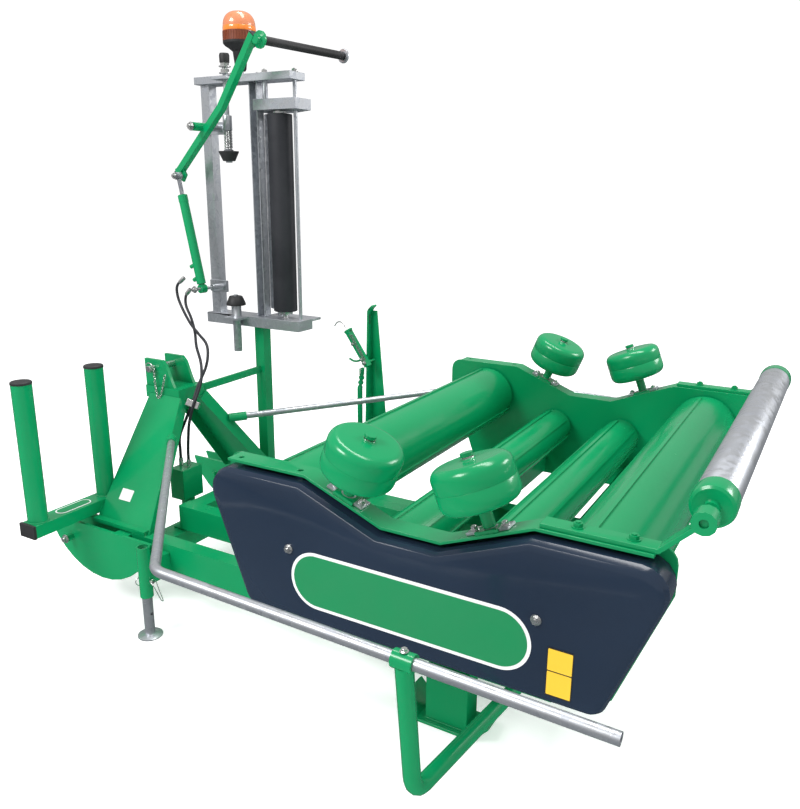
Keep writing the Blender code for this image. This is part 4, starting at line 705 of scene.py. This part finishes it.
# %% Links of a chain
def build_chain(tree, given):
    """Oval links along a line, each turned a quarter from the last."""
    line = shader_node(tree, "GeometryNodeMeshToCurve", {"Mesh": given["Geometry"]})
    even = shader_node(tree, "GeometryNodeResampleCurve", {"Curve": line.outputs[0], "Length": given["Step"]},
                       mode="LENGTH")
    loop = shader_node(tree, "GeometryNodeCurvePrimitiveCircle", {"Resolution": 14, "Radius": given["Radius"]})
    long = shader_node(tree, "GeometryNodeTransform", {"Geometry": loop.outputs[0]})
    long.inputs["Scale"].default_value = (1.0, 0.6, 1.0)
    ring = shader_node(tree, "GeometryNodeCurvePrimitiveCircle", {"Resolution": 6, "Radius": given["Wire"]})
    link = shader_node(tree, "GeometryNodeCurveToMesh", {"Curve": long.outputs[0],
                                                         "Profile Curve": ring.outputs[0]})
    tangent = tree.nodes.new("GeometryNodeInputTangent")
    spin = shader_node(tree, "FunctionNodeAlignRotationToVector", {"Vector": tangent.outputs[0]}, axis="X")
    index = tree.nodes.new("GeometryNodeInputIndex")
    quarter = combine(tree, "MULTIPLY", index.outputs[0], math.pi / 2)
    twist = shader_node(tree, "ShaderNodeCombineXYZ", {"X": quarter})
    turned_link = shader_node(tree, "FunctionNodeRotateRotation", {"Rotation": spin.outputs[0],
                                                                   "Rotate By": twist.outputs[0]},
                              rotation_space="LOCAL")
    placed = shader_node(tree, "GeometryNodeInstanceOnPoints", {
        "Points": even.outputs[0], "Instance": link.outputs[0], "Rotation": turned_link.outputs[0]})
    return placed.outputs[0]


CHAIN = geometry_tree("chain", [("Step", "Float"), ("Radius", "Float"), ("Wire", "Float")], build_chain)
print("geometry trees", [t.name for t in (BOLTS, RING, BEADS, COIL, CHAIN)])


def line_mesh(points):
    """Points joined into one line of edges."""
    mesh = bpy.data.meshes.new("line")
    mesh.from_pydata([tuple(p) for p in points], [(i, i + 1) for i in range(len(points) - 1)], [])
    return mesh


def weld(name, body, points, radius=0.004):
    """A bead of weld along a line of points."""
    return grown(BEADS, name, GREEN, body, {"Step": radius * 1.1, "Radius": radius},
                 line_mesh(points), 80)


# %% [markdown]
# ## Bale rollers
# Each roller is a steel drum with flat strips welded along it, which grip the bale. The drum is turned and
# the strips come from the ring tree, so their number and height are plain values.

# %% Bale rollers
ROLLER_FACE = 0.688
STRIPS = {1: 3, 2: 6, 3: 6, 4: 3}
for number, strips in STRIPS.items():
    body = "roller_%d" % number
    big = number in (1, 4)
    radius = 0.112 if big else 0.070
    centre = Vector(JOINTS[body + "_spin"]["pos_m"])
    half = ROLLER_FACE - 0.0005
    profile = [(-0.7065, 0), (-0.7065, 0.018), (-half + 0.002, 0.018), (-half + 0.010, radius - 0.012),
               (-half, radius - 0.008), (-half, radius - 0.001), (-half + 0.001, radius)]
    profile += [(-a, r) for a, r in reversed(profile)]
    show("bale_roller_%d_drum" % number, turned(profile, centre, ALONG, 72 if big else 56), GREEN, body, 40,
         ("bale_roller_%d" % number,))
    grown(RING, "bale_roller_%d_strips" % number, GREEN, body, {
        "Count": strips, "Radius": radius + 0.001, "Height": 0.008, "Width": 0.010, "Length": 2 * half - 0.06,
        "Centre": centre, "Turn": (math.pi / 2, math.radians(22), 0)})
    print(body, "radius", radius, "strips", strips)

# %% [markdown]
# ## Guide drums
# Four squat drums keep the bale between the side plates. Two pressed halves meet at a welded seam round the
# middle. The profile is an arc at each rim, so the drum is turned from computed points.

# %% Guide drums
def drum_profile(radius, half, edge):
    """Half of the drum's outline, mirrored about the seam."""
    upper = [(0.0, radius - 0.0015), (0.003, radius)]
    for degrees in range(0, 91, 10):
        a = math.radians(degrees)
        upper.append((half - edge + edge * math.sin(a), radius - edge + edge * math.cos(a)))
    upper += [(half + 0.0008, 0.040), (half + 0.0015, 0.019), (half + 0.0035, 0.017), (half + 0.0035, 0.0)]
    return [(-a, r) for a, r in reversed(upper[1:])] + upper


for end in ("front", "rear"):
    for side, _ in SIDES:
        place = "%s_%s" % (end, side)
        body = "drum_" + place
        joint = JOINTS[body + "_spin"]
        centre, up = Vector(joint["pos_m"]), Vector(joint["axis"]).normalized()
        shell = turned(drum_profile(0.100, 0.056, 0.026), centre, up, 72)
        show("guide_drum_%s_shell" % place, shell, GREEN, body, 32, ("guide_drum_" + place,))
        bolts("drum_bolt_" + place, body, [(centre + up * 0.0595, up, 0.0115)])
        foot = centre - up * 0.117
        flat = ALONG.cross(up).normalized()
        pin = turned([(0.004, 0), (0.004, 0.026), (0.006, 0.026), (0.010, 0.0135), (0.052, 0.0135),
                      (0.052, 0.019), (0.059, 0.019), (0.059, 0)], foot, up, 32)
        base = slab([foot + up * 0.0008 + flat * a * 0.056 + ALONG * b * 0.021 for a, b in SQUARE], up * 0.007)
        show("drum_stud_" + place, joined(pin, base), GALVANISED, "turntable", 35, bevel=0.001)
        bolts("stud_bolts_" + place, "turntable",
              [(foot + up * 0.0078 + flat * a, up, 0.0085) for a in (-0.041, 0.041)])

# %% [markdown]
# ## Unloading roller
# A zinc-coated tube turns behind the last roller, so that the bale rolls off without tearing its film. Its
# ends are green pressed caps with a hub and a nut.

# %% Unloading roller
centre = Vector(JOINTS["unload_roller_spin"]["pos_m"])
ROLLER_BODY = "unload_roller_body"
ARM_TOP, ARM_Y = 0.892, 0.731
tube = turned([(-0.648, 0.0), (-0.648, 0.0445), (-0.643, 0.0475), (0.643, 0.0475), (0.648, 0.0445),
               (0.648, 0.0)], centre, ALONG, 64)
show("unload_tube", tube, GALVANISED, ROLLER_BODY, 35, ("unload_roller",))
for side, sign in SIDES:
    cap = turned([(0.600, 0.0482), (0.600, 0.0490), (0.645, 0.0495), (0.655, 0.047), (0.659, 0.041),
                  (0.657, 0.030), (0.659, 0.018), (0.672, 0.016), (0.672, 0.0)], centre, (0, sign, 0), 48)
    show("unload_cap_" + side, cap, GREEN, ROLLER_BODY)
    pin = turned([(0.670, 0), (0.670, 0.009), (0.748, 0.009), (0.748, 0)], centre, (0, sign, 0), 20)
    show("unload_pin_" + side, pin, GREEN, ROLLER_BODY)
    bolts("unload_arm_bolts_" + side, "turntable",
          [(at(x, sign * ARM_Y, ARM_TOP), UP, 0.011) for x in (0.400, 0.520)], GREEN)

# %% [markdown]
# ## Film rollers, cones and spindle
# The film runs over a steel roller and a rubber roller that are geared together. The film roll stands
# between two black cones, and the upper one is pressed down by a spring on a threaded rod.

# %% Film rollers and cones
SPINDLE, STEEL_ROLLER, RUBBER_ROLLER, BEACON = ((-1.500, 0.345), (-1.370, 0.490), (-1.285, 0.420),
                                                (-1.501, 0.4455))
ARM_FACE = 2.0302                # the upper arm's top face


def upright(name, profile, axis, material, body, replaces=(), sides=48, smooth_below=35):
    """Shows a shape turned about an upright axis; profile lists (height, radius)."""
    show(name, turned(profile, at(*axis, 0), UP, sides), material, body, smooth_below, replaces)


def coil(name, material, body, turns, radius, height, wire, centre):
    """Shows a coil of wire with its foot at a point."""
    grown(COIL, name, material, body, {"Turns": turns, "Radius": radius, "Height": height, "Wire": wire,
                                       "Centre": centre}, smooth_below=80)


upright("steel_film_roller", [(1.013, 0), (1.013, .012), (1.062, .012), (1.065, .040), (1.068, .042),
                              (1.877, .042), (1.880, .040), (1.882, .012), (1.903, .012), (1.903, 0)],
        STEEL_ROLLER, GALVANISED, "steel_roller", ("stretch_roller_steel",))
upright("rubber_film_roller", [(1.070, .012), (1.068, .049), (1.070, .051), (1.872, .051), (1.874, .049),
                               (1.872, .012)], RUBBER_ROLLER, RUBBER, "rubber_roller", ("stretch_roller_rubber",))
upright("rubber_roller_shaft", [(1.013, 0), (1.013, .012), (1.055, .012), (1.055, .030), (1.0655, .030),
                                (1.0655, .012), (1.877, .012), (1.877, .028), (1.885, .028), (1.885, .012),
                                (1.903, .012), (1.903, 0)], RUBBER_ROLLER, BRIGHT, "rubber_roller")
upright("upper_film_cone", [(1.690, 0.011), (1.690, .024), (1.692, .026), (1.722, .040), (1.726, .042),
                            (1.729, .042), (1.730, .040), (1.730, .011)], SPINDLE, BLACK, "cone_upper",
        ("upper_cone",))
upright("lower_film_cone", [(1.085, .0105), (1.085, .041), (1.086, .042), (1.093, .042), (1.123, .029),
                            (1.125, .026), (1.125, .0105)], SPINDLE, BLACK, "cone_lower", ("lower_cone",))
upright("spindle_rod", [(1.684, 0), (1.684, .013), (1.6895, .014), (1.6895, .0098), (1.7305, .0098), (1.7305, .019),
                        (1.735, .020), (1.738, .0130), (1.812, .0130), (1.812, .0185), (1.815, .0190),
                        (1.868, .0190), (1.870, .0180), (1.870, .0100), (2.0305, .0100), (2.075, .0100),
                        (2.075, 0)], SPINDLE, GALVANISED, "spindle", ("upper_spindle",))
upright("spindle_knob", [(2.070, 0), (2.070, .015), (2.073, .020), (2.100, .021), (2.108, .018), (2.110, 0)],
        SPINDLE, BLACK, "spindle", sides=32)
coil("spindle_spring", BRIGHT, "spindle", 12.0, 0.0160, 0.072, 0.0021, at(*SPINDLE, 1.739))
coil("spindle_thread", BRIGHT, "spindle", 22.0, 0.0098, 0.040, 0.0010, at(*SPINDLE, 2.034))
bolts("spindle_nut", "spindle", [(at(*SPINDLE, height), UP, 0.018) for height in (2.0305, 2.0560)])
bolts("guide_rod_nuts", "base", [(at(x, y, ARM_FACE), UP, half) for x, y, half in (
    (-1.205, 0.420, 0.011), (-1.336, 0.395, 0.012), (-1.410, 0.440, 0.010))])

# %% [markdown]
# ## Warning beacon
# The beacon is an amber dome and a bright amber ring over a ribbed band, on a black cup and a zinc-coated stalk.
# The dome's paler colour is the amber with a painted sheen of the light from above, and the band's darker colour is
# the amber with painted shade. All of them are turned, and the ribs of the band come from the ring tree.

# %% Beacon
dome = [(2.221, 0), (2.221, .0668), (2.226, .0668)]
dome += [(2.226 + 0.0545 * math.sin(math.radians(a)), .0665 * math.cos(math.radians(a)) ** 0.7)
         for a in range(10, 90, 10)] + [(2.281, 0)]
# The dome's colour is amber made paler by painted sheen.
upright("beacon_dome", dome, BEACON, AMBER_WITH_PAINTED_SHEEN, "base", ("beacon",), 64, 50)
upright("beacon_lens", [(2.203, 0), (2.203, .067), (2.205, .068), (2.219, .068), (2.221, .067), (2.221, 0)],
        BEACON, AMBER, "base", sides=64)
# The band and its ribs carry the amber darkened as painted shade.
upright("beacon_band", [(2.165, 0), (2.165, .068), (2.203, .067), (2.203, 0)], BEACON, AMBER_IN_PAINTED_SHADE, "base",
        sides=64)
grown(RING, "beacon_ribs", AMBER_IN_PAINTED_SHADE, "base", {
    "Count": 40, "Radius": 0.0678, "Height": 0.003, "Width": 0.0045, "Length": 0.034,
    "Centre": at(*BEACON, 2.184), "Turn": (0, 0, 0)})
upright("beacon_cup", [(2.052, 0), (2.052, .019), (2.060, .023), (2.126, .031), (2.138, .046), (2.148, .062),
                       (2.156, .0690), (2.165, .0695), (2.165, 0)], BEACON, BLACK, "base", sides=48)
upright("beacon_stalk", [(2.0303, 0), (2.0303, .018), (2.037, .018), (2.037, .0105), (2.055, .0105),
                         (2.055, 0)], BEACON, GALVANISED, "base", sides=32)

# %% [markdown]
# ## Film arm
# The arm swings over the film roll and carries a black pole at its end. Its cylinder hangs from the lower
# end of the bar. The pole is turned, and the arm's bar has plastic caps pushed into its ends.

# %% Film arm's pole and small parts
joint = JOINTS["film_pole_spin"]
hub, way = Vector(joint["pos_m"]), Vector(joint["axis"]).normalized()
side_way = Vector((way.y, -way.x, 0))
pivot = Vector(JOINTS["film_arm_hinge"]["pos_m"])


def on_arm(along, up, out=0.0):
    """A point in the film arm's plane, from its pivot."""
    return pivot + side_way * along + Vector((0, 0, up)) + way * out


POLE_DRAWN = 0.443               # the length at which the pole's outline is drawn
outline = [(0.0223, 0), (0.0223, 0.0150), (0.025, 0.0165), (0.440, 0.0165), (POLE_DRAWN, 0.015),
           (POLE_DRAWN, 0)]
pole_length = (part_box("film_pole")[1].y - hub.y) / way.y
stretch = (pole_length - 0.006) / POLE_DRAWN
show("film_pole_tube", turned([(a if a < 0.03 else a * stretch, r) for a, r in outline], hub, way, 32), BLACK,
     "pole", 35, ("film_pole",))
flange = turned([(pole_length - a, r) for a, r in ((0.010, 0), (0.010, .0270), (0.008, .029), (0.003, .029),
                                                   (0.003, 0))], hub, way, 32)
show("film_pole_flange", flange, GALVANISED, "pole")
bolts("film_arm_pivot_bolt", "base", [(pivot - way * 0.0622, -way, 0.013)])
ARM_HALF = 0.0145
arm_bend = on_arm(0.121, 0.071)
for number, end in enumerate((on_arm(-0.177, -0.184), on_arm(0.322, 0.322)), 1):
    run = (arm_bend - end).normalized()
    cross = run.cross(way).normalized()
    cap = slab([end + cross * a * ARM_HALF + way * b * ARM_HALF for a, b in SQUARE], -run * 0.005)
    show("film_arm_cap_%d" % number, cap, BLACK, "film_arm_body", bevel=0.001)
base_eye = Vector(JOINTS["arm_cylinder_swing"]["pos_m"])
bolts("arm_cylinder_pin_low", "base", [(base_eye - way * 0.042, -way, 0.011)])
rod_eye = on_arm(-0.144, -0.195, -0.030)
bolts("arm_cylinder_pin_high", "arm_ram", [(rod_eye - way * 0.020, -way, 0.010)])
lean = (rod_eye - base_eye).normalized()
barrel_top = max((v.co - base_eye).dot(lean) for v in frame["nodes"]["arm_barrel"].data.vertices)
gland = [(-0.030, .0150), (-0.030, .0205), (-0.002, .0205), (0.001, .0150)]
show("arm_cylinder_gland", turned([(barrel_top + a, r) for a, r in gland], base_eye, lean, 32), GREEN,
     "arm_cylinder")
for number, line in enumerate(hose_lines, 1):
    start_way, end_way = (line[1] - line[0]).normalized(), (line[-2] - line[-1]).normalized()
    r = HOSE_RADIUS + 0.0004
    ferrule = [(a, r + b) for a, b in ((0.0, 0), (0.0, .0022), (0.006, .0028), (0.028, .0026), (0.034, .0008),
                                       (0.034, 0))]
    show("hose_ferrules_%d" % number, joined(turned(ferrule, line[0], start_way, 20),
                                             turned(ferrule, line[-1], end_way, 20)), BRIGHT, "base")

# %% [markdown]
# ## Parking stands and safety bars
# The front of the machine rests on two telescopic stands. Bent tubes keep people away from the turning
# bale. Both are plain round stock, so one is turned and the other is swept along its line.

# %% Stands and safety bars
CORNER_STEPS = 8


def fillet(points, radius):
    """A polyline with its inner corners replaced by arcs."""
    out = [points[0]]
    for before, corner, after in zip(points, points[1:], points[2:]):
        a, b = (before - corner).normalized(), (after - corner).normalized()
        half = math.acos(max(-1, min(1, a.dot(b)))) / 2
        cut = radius / math.tan(half)
        start, end = corner + a * cut, corner + b * cut
        centre = corner + (a + b).normalized() * (radius / math.sin(half))
        for i in range(CORNER_STEPS + 1):
            mix = start.lerp(end, i / CORNER_STEPS)
            out.append(centre + (mix - centre).normalized() * radius)
    return out + [points[-1]]


def drilled(mesh, drill):
    """The mesh with the drill's shape taken out of it."""
    kept, tool = bpy.data.objects.new("drilled", mesh), bpy.data.objects.new("drill", drill)
    for thing in (kept, tool):
        bpy.context.scene.collection.objects.link(thing)
    cut = kept.modifiers.new("drill", "BOOLEAN")
    cut.operation, cut.solver, cut.object = "DIFFERENCE", "EXACT", tool
    bpy.context.view_layer.update()
    made = bpy.data.meshes.new_from_object(kept.evaluated_get(bpy.context.evaluated_depsgraph_get()))
    for thing in (kept, tool):
        bpy.data.objects.remove(thing)
    return made


PIN_HEIGHT, PIN_STEP = 0.225, 0.132
BAR_Y = 1.090                    # how far out the safety bars run
CLIP = ((0.036, -0.010, 0.002), (0.036, 0.0, 0.010), (0.039, 0.010, 0.002), (0.058, 0.006, -0.028),
        (0.078, 0.002, -0.058), (0.083, -0.004, -0.060), (0.076, -0.008, -0.050), (0.052, -0.009, -0.014),
        (0.036, -0.010, 0.002))
for side, sign in SIDES:
    low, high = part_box("stand_leg_" + side)
    foot = Vector(((low.x + high.x) / 2, (low.y + high.y) / 2, 0))
    leg = turned([(0.0, 0), (0.0, .043), (0.002, .045), (0.005, .045), (0.008, .038), (0.014, .020),
                  (0.014, .0183), (0.338, .0183), (0.340, .0165), (0.340, 0)], foot, (0, 0, 1), 40)
    drill = turned([(-0.03, 0), (-0.03, .0058), (0.03, .0058), (0.03, 0)],
                   foot + Vector((0, 0, PIN_HEIGHT - PIN_STEP)), (1, 0, 0), 20)
    show("stand_tube_" + side, drilled(leg, drill), GALVANISED, "stand_" + side, 35, ("stand_leg_" + side,))
    sleeve = foot + Vector((0, 0, PIN_HEIGHT))
    pin = turned([(-0.034, 0), (-0.034, .0052), (0.040, .0052), (0.040, 0)], sleeve, (1, 0, 0), 16)
    ring_middle = sleeve + Vector((-0.031, 0, -0.014))
    ring = [ring_middle + Vector((0.004 * math.sin(t), 0.016 * math.sin(t), 0.016 * math.cos(t)))
            for t in ring_points(20)]
    clip = [sleeve + Vector(p) for p in CLIP]
    wires = [swept(line, 0.0017, 8) for line in (ring, smooth_route(clip))]
    show("stand_pin_" + side, joined(pin, *wires), BRIGHT, "base")
    bar = fillet([at(x, sign * y, z) for x, y, z in ((-1.385, 0.195, 0.628), (-0.520, BAR_Y, 0.702),
                                                     (0.606, BAR_Y, 0.682))], 0.070)
    show("safety_tube_" + side, swept(bar, 0.0135, 28, 0.0112), GALVANISED, "base", 35, ("safety_bar_" + side,))
    clamp = at(0.173, sign * BAR_Y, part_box("bar_bracket_" + side)[1].z)
    bolts("clamp_screw_" + side, "base", [(clamp, (0, 0, 1), 0.007)])

# %% [markdown]
# ## Covers and plates
# The side covers carry blank plates: a long oval one with a pale rim, and a small upright yellow one in a
# dark frame. They are thin pieces standing just proud, because a painted patch would have no edge.

# %% Plates
def outer_face(node, sign):
    """The y of a node's outer face on one side."""
    low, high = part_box(node)
    return low.y if sign < 0 else high.y


for side, sign in SIDES:
    face = outer_face("side_panel_" + side, sign)
    right, out = Vector((-sign, 0, 0)), Vector((0, sign, 0))
    spot, sign_spot = Vector((TABLE.x, face, 0.610)), Vector((TABLE.x + 0.402, face, 0.565))
    for name, proud, width, height, corner, material in (
            ("oval_rim_", 0.0002, 0.668, 0.160, 0.0799, WHITE),
            ("oval_plate_", 0.0010, 0.650, 0.142, 0.0709, PLATE_GREEN)):
        plate = rounded_plate(spot + out * proud, right, UP, width, height, corner, 0.0010, 16)
        show(name + side, plate, material, "turntable", bevel=0.0003)
    plate = rounded_plate(sign_spot + out * 0.0002, right, UP, 0.060, 0.122, 0.003, 0.0008, 4)
    show("small_sign_frame_" + side, plate, BLACK, "turntable")
    for number, place, height in ((1, 0.031, 0.0555), (2, -0.028, 0.0605)):
        plate = rounded_plate(sign_spot + out * 0.0009 + UP * place, right, UP, 0.056, height - 0.002, 0.002,
                              0.0006, 4)
        show("small_sign_%s_%d" % (side, number), plate, YELLOW, "turntable")
    bolts("panel_bolts_" + side, "turntable",
          [(Vector((TABLE.x + x, face, 0.682)), out, 0.0095) for x in (-0.341, 0.341)])

# %% [markdown]
# ## Headstock
# The A-shaped headstock takes the tractor's three linkage arms. A plain pin with a ring clip on a chain
# closes its upper fork, and the seams of its plates are welded.

# %% Headstock's pin, chain, plates and welds
top_pin = at(-1.600, 0, 0.868)
shank = [(-0.078, 0), (-0.078, .0125), (-0.075, .0135), (0.090, .0135), (0.092, .012), (0.092, 0)]
head = [(-0.088, 0), (-0.088, .020), (-0.078, .022), (-0.074, .022), (-0.074, 0)]
show("top_link_pin", joined(*[turned(profile, top_pin, (0, -1, 0), 28) for profile in (shank, head)]), BRIGHT,
     "base")
clip_centre = top_pin + Vector((0, -0.080, 0.0))
clip = [clip_centre + Vector((0.019 * math.cos(t), -0.004, 0.019 * math.sin(t) + 0.006))
        for t in ring_points(20)]
show("linch_ring", swept(clip, 0.0022, 8), BRIGHT, "base")
hang = []
for t in (i / 12 for i in range(13)):
    sag = math.sin(math.pi * t)
    hang.append(top_pin + Vector((0.012 + 0.060 * t, -0.072 - 0.014 * sag, 0.004 - 0.105 * sag - 0.030 * t)))
grown(CHAIN, "linch_chain", BRIGHT, "base", {"Step": 0.0095, "Radius": 0.0070, "Wire": 0.0013},
      line_mesh(hang), 80)
leg_up = Vector((0, 0.585, 0.811)).normalized()
label = rounded_plate(at(-1.515, -0.3255, 0.4188), (1, 0, 0), leg_up, 0.062, 0.046, 0.002, 0.0008, 4)
show("leg_label", label, WHITE, "base")
clamp_way = Vector((-0.15, -0.42, -0.89)).normalized()
clamp_side = clamp_way.cross(Vector((0.868, 0.498, 0)).cross(clamp_way)).normalized()
clamp_face = clamp_way.cross(clamp_side)
clamp_middle = at(-1.412, -0.041, 0.7375) - clamp_way * 0.014
clamp_box = slab([clamp_middle + clamp_side * a * 0.027 + clamp_face * b * 0.011 for a, b in SQUARE],
                 clamp_way * 0.028)
show("hose_clamp", clamp_box, BRIGHT, "base", bevel=0.002)
rack_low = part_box("roll_rack")[0]
BAR_TOP, RACK_X = 0.3905, -1.655
for name, proud, width, height, corner, thick, material in (
        ("rack_plate", 0.0001, 0.150, 0.052, 0.0259, 0.0008, WHITE),
        ("rack_plate_inner", 0.0008, 0.140, 0.042, 0.0209, 0.0006, PLATE_GREEN)):
    plate = rounded_plate(at(RACK_X, -0.465, BAR_TOP + proud), ALONG, (-1, 0, 0), width, height, corner, thick)
    show(name, plate, material, "base")
post_cap = [(0.9135, 0.0), (0.9135, .0372), (0.9205, .0368), (0.9230, .0340), (0.9235, 0.0)]
for number, y in enumerate((-0.620, -0.310), 1):
    post = at(RACK_X, y, 0)
    show("rack_cap_%d" % number, turned(post_cap, post, UP, 40), BLACK, "base")
    round_post = [post + Vector((0.0365 * math.cos(t), 0.0365 * math.sin(t), BAR_TOP + 0.001))
                  for t in ring_points(24)]
    weld("rack_weld_%d" % number, "base", round_post, 0.0035)
cap = slab([Vector((rack_low.x - 0.001 + a * 0.082, rack_low.y + 0.006, 0.3395 + b * 0.052))
            for a, b in ((0, 0), (1, 0), (1, 1), (0, 1))], (0, -0.011, 0))
show("rack_end_cap", cap, BLACK, "base", bevel=0.001)

# %% [markdown]
# ## Film cutter
# A toothed blade on a short arm holds and cuts the film once the bale is wrapped. The teeth could be set out
# by a node tree. The blade is flat, so it is cut here as one outline, teeth and all.

# %% Cutter's blade, hook, handle and knuckle
swing = Vector(JOINTS["cutter_swing"]["pos_m"])
slant = math.radians(-35)
up_blade = Vector((math.sin(slant), 0, math.cos(slant)))
side_blade = Vector((math.cos(slant), 0, -math.sin(slant)))
arm_middle = swing + Vector((0, -0.024, 0))
teeth = []
for i in range(13):
    teeth += [(0.006 + i * 0.010, 0.015), (0.011 + i * 0.010, 0.025)]
outline = [(0.0, 0.004)] + teeth + [(0.140, 0.015), (0.145, 0.004)]
blade_side = arm_middle + Vector((0, -0.0105, 0))
blade = slab([blade_side + up_blade * a + side_blade * b for a, b in outline], (0, -0.002, 0))
show("cutter_blade", blade, BRIGHT, "cutter")
bolts("cutter_bolts", "cutter", [(arm_middle + up_blade * a + Vector((0, -0.010, 0)) - side_blade * 0.004,
                                  (0, -1, 0), 0.006) for a in (0.02, 0.10)])
arm_end = swing + Vector((0, -0.016, 0)) + up_blade * 0.165
cap = turned([(-0.004, 0), (-0.004, .0205), (0.004, .0205), (0.004, 0)], arm_end, up_blade, 6)
show("cutter_cap", cap, GREEN, "cutter", 20)
hook = [arm_end + Vector((x, 0, z)) for x, z in ((0, 0), (-0.012, 0.012), (-0.034, 0.034), (-0.058, 0.033),
                                                 (-0.074, 0.014))]
show("cutter_hook", swept(smooth_route(hook), 0.0028, 10), BRIGHT, "cutter")
handle = [swing + Vector((x, -0.026, z)) for x, z in ((-0.014, 0.014), (-0.040, 0.003), (-0.062, 0.002),
                                                      (-0.082, 0.010))]
show("cutter_handle", swept(smooth_route(handle), 0.0048, 12), GREEN, "cutter")
knuckle_foot, knuckle_head = at(-1.052, 0.650, 0.6995), at(-1.034, 0.650, 0.803)
knuckle_way = (knuckle_head - knuckle_foot).normalized()
knuckle = [(0, 0), (0, .0120), (.010, .0120), (.012, .0080), (.022, .0080), (.024, .0125), (.034, .0125),
           (.036, .0085), (.046, .0085), (.048, .0130), (.058, .0130), (.060, .0075), (.100, .0075), (.103, 0)]
show("cutter_knuckle", turned(knuckle, knuckle_foot, knuckle_way, 24), GREEN, "base")
coil("cutter_spring", GREEN, "base", 6.0, 0.0105, 0.032, 0.0020, at(-1.041, 0.650, 0.763))
post_x, post_y = -0.990, 0.668
tab = slab([at(post_x + x, post_y, z) for x, z in (
    (-0.034, 1.050), (-0.028, 1.050), (-0.024, 1.060), (-0.006, 1.078), (-0.010, 1.083), (-0.030, 1.064))],
    (0, 0.038, 0))
show("cutter_post_tab", tab, GREEN, "base", 20)
# A thin black plate on the post's face is the painted shadow of its slot.
slot = rounded_plate(at(post_x - 0.028, post_y + 0.014, 1.018), ALONG, UP, 0.006, 0.046, 0.0029, 0.0006, 6)
show("cutter_post_slot_shadow", slot, BLACK, "base")
bolts("cutter_pivot_bolt", "base", [(swing + Vector((0, -0.034, 0)), (0, -1, 0), 0.008)])

# %% [markdown]
# ## Bolts and welds of the frame
# The lower link pins end in nuts outside the hitch plates, and the rear feet are welded on. Both come from
# the same trees as the bolts and beads elsewhere.

# %% Bolts and welds
pin_ends = []
for side, sign in SIDES:
    face = outer_face("link_bracket_" + side, sign)
    pin_ends.append((Vector((TABLE.x - 1.700, face, 0.250)), (0, sign, 0), 0.013))
    for number, edge in ((2, -0.046), (1, 0.031)):
        weld("foot_weld_%s_%d" % (side, number), "base",
             [at(-0.050 + a, sign * 0.385 + edge, 0.0115) for a in (-0.066, 0.066)])
bolts("hitch_pin_ends", "base", pin_ends)

# %% [markdown]
# ## Floor and light
# A plain pale floor and a soft studio light show the shapes best. Three large area lights give long, soft
# highlights on the rollers, and the pale surroundings fill the shadows. The floor and the sky look darker in
# a reflection than they do directly, as with the dark cards of a studio, so that deep colours stay deep.

# %% Stage
FLOOR_REACH = 30


def studio_floor():
    """A wide pale floor that mirrors darker than it looks."""
    mesh = mesh_of([(a * FLOOR_REACH, b * FLOOR_REACH, 0) for a, b in SQUARE], [(0, 1, 2, 3)])
    made = bpy.data.materials.new("pale_floor")
    made.use_nodes = True
    tree = made.node_tree
    shader = tree.nodes["Principled BSDF"]
    for label, value in (("Base Color", (0.90, 0.90, 0.90, 1)), ("Roughness", 0.8), ("Specular IOR Level", 0.05),
                         ("Emission Color", (1, 1, 1, 1)), ("Emission Strength", 0.42)):
        shader.inputs[label].default_value = value
    card = shader_node(tree, "ShaderNodeBsdfDiffuse", {"Color": (0.10, 0.11, 0.12, 1)})
    rays = tree.nodes.new("ShaderNodeLightPath")
    mix = shader_node(tree, "ShaderNodeMixShader", {0: rays.outputs["Is Glossy Ray"]})
    tree.links.new(shader.outputs[0], mix.inputs[1])
    tree.links.new(card.outputs[0], mix.inputs[2])
    tree.links.new(mix.outputs[0], tree.nodes["Material Output"].inputs["Surface"])
    mesh.materials.append(made)
    floor = bpy.data.objects.new("floor", mesh)
    bpy.context.scene.collection.objects.link(floor)


def softbox(name, place, target, width, height, power):
    """A square-cornered area light aimed at a point."""
    data = bpy.data.lights.new(name, "AREA")
    data.shape = "RECTANGLE"
    data.size, data.size_y, data.energy = width, height, power
    lamp = bpy.data.objects.new(name, data)
    lamp.location = place
    lamp.rotation_euler = (Vector(target) - Vector(place)).to_track_quat("-Z", "Y").to_euler()
    bpy.context.scene.collection.objects.link(lamp)


studio_floor()
softbox("key", (-2.5, -5.0, 5.5), (0, 0, 0.6), 3.0, 2.0, 330)
softbox("top", (0.5, 0.5, 6.0), (0.3, 0, 0.6), 5.0, 1.2, 220)
softbox("rim", (4.5, 3.5, 3.5), (0, 0, 0.8), 2.5, 1.5, 130)
world = bpy.data.worlds.new("studio")
bpy.context.scene.world = world
world.use_nodes = True
sky = world.node_tree
rays = sky.nodes.new("ShaderNodeLightPath")
SKY, SKY_SEEN, SKY_MIRRORED = 0.72, 0.35, -0.30
darker = combine(sky, "MULTIPLY", rays.outputs["Is Glossy Ray"], SKY_MIRRORED)
brighter = combine(sky, "MULTIPLY", rays.outputs["Is Camera Ray"], SKY_SEEN)
strength = combine(sky, "ADD", combine(sky, "ADD", darker, brighter), SKY)
sky.nodes["Background"].inputs["Color"].default_value = (1.0, 1.0, 1.0, 1)
sky.links.new(strength, sky.nodes["Background"].inputs["Strength"])
bpy.context.scene.view_settings.view_transform = "Standard"
print("stage ready")
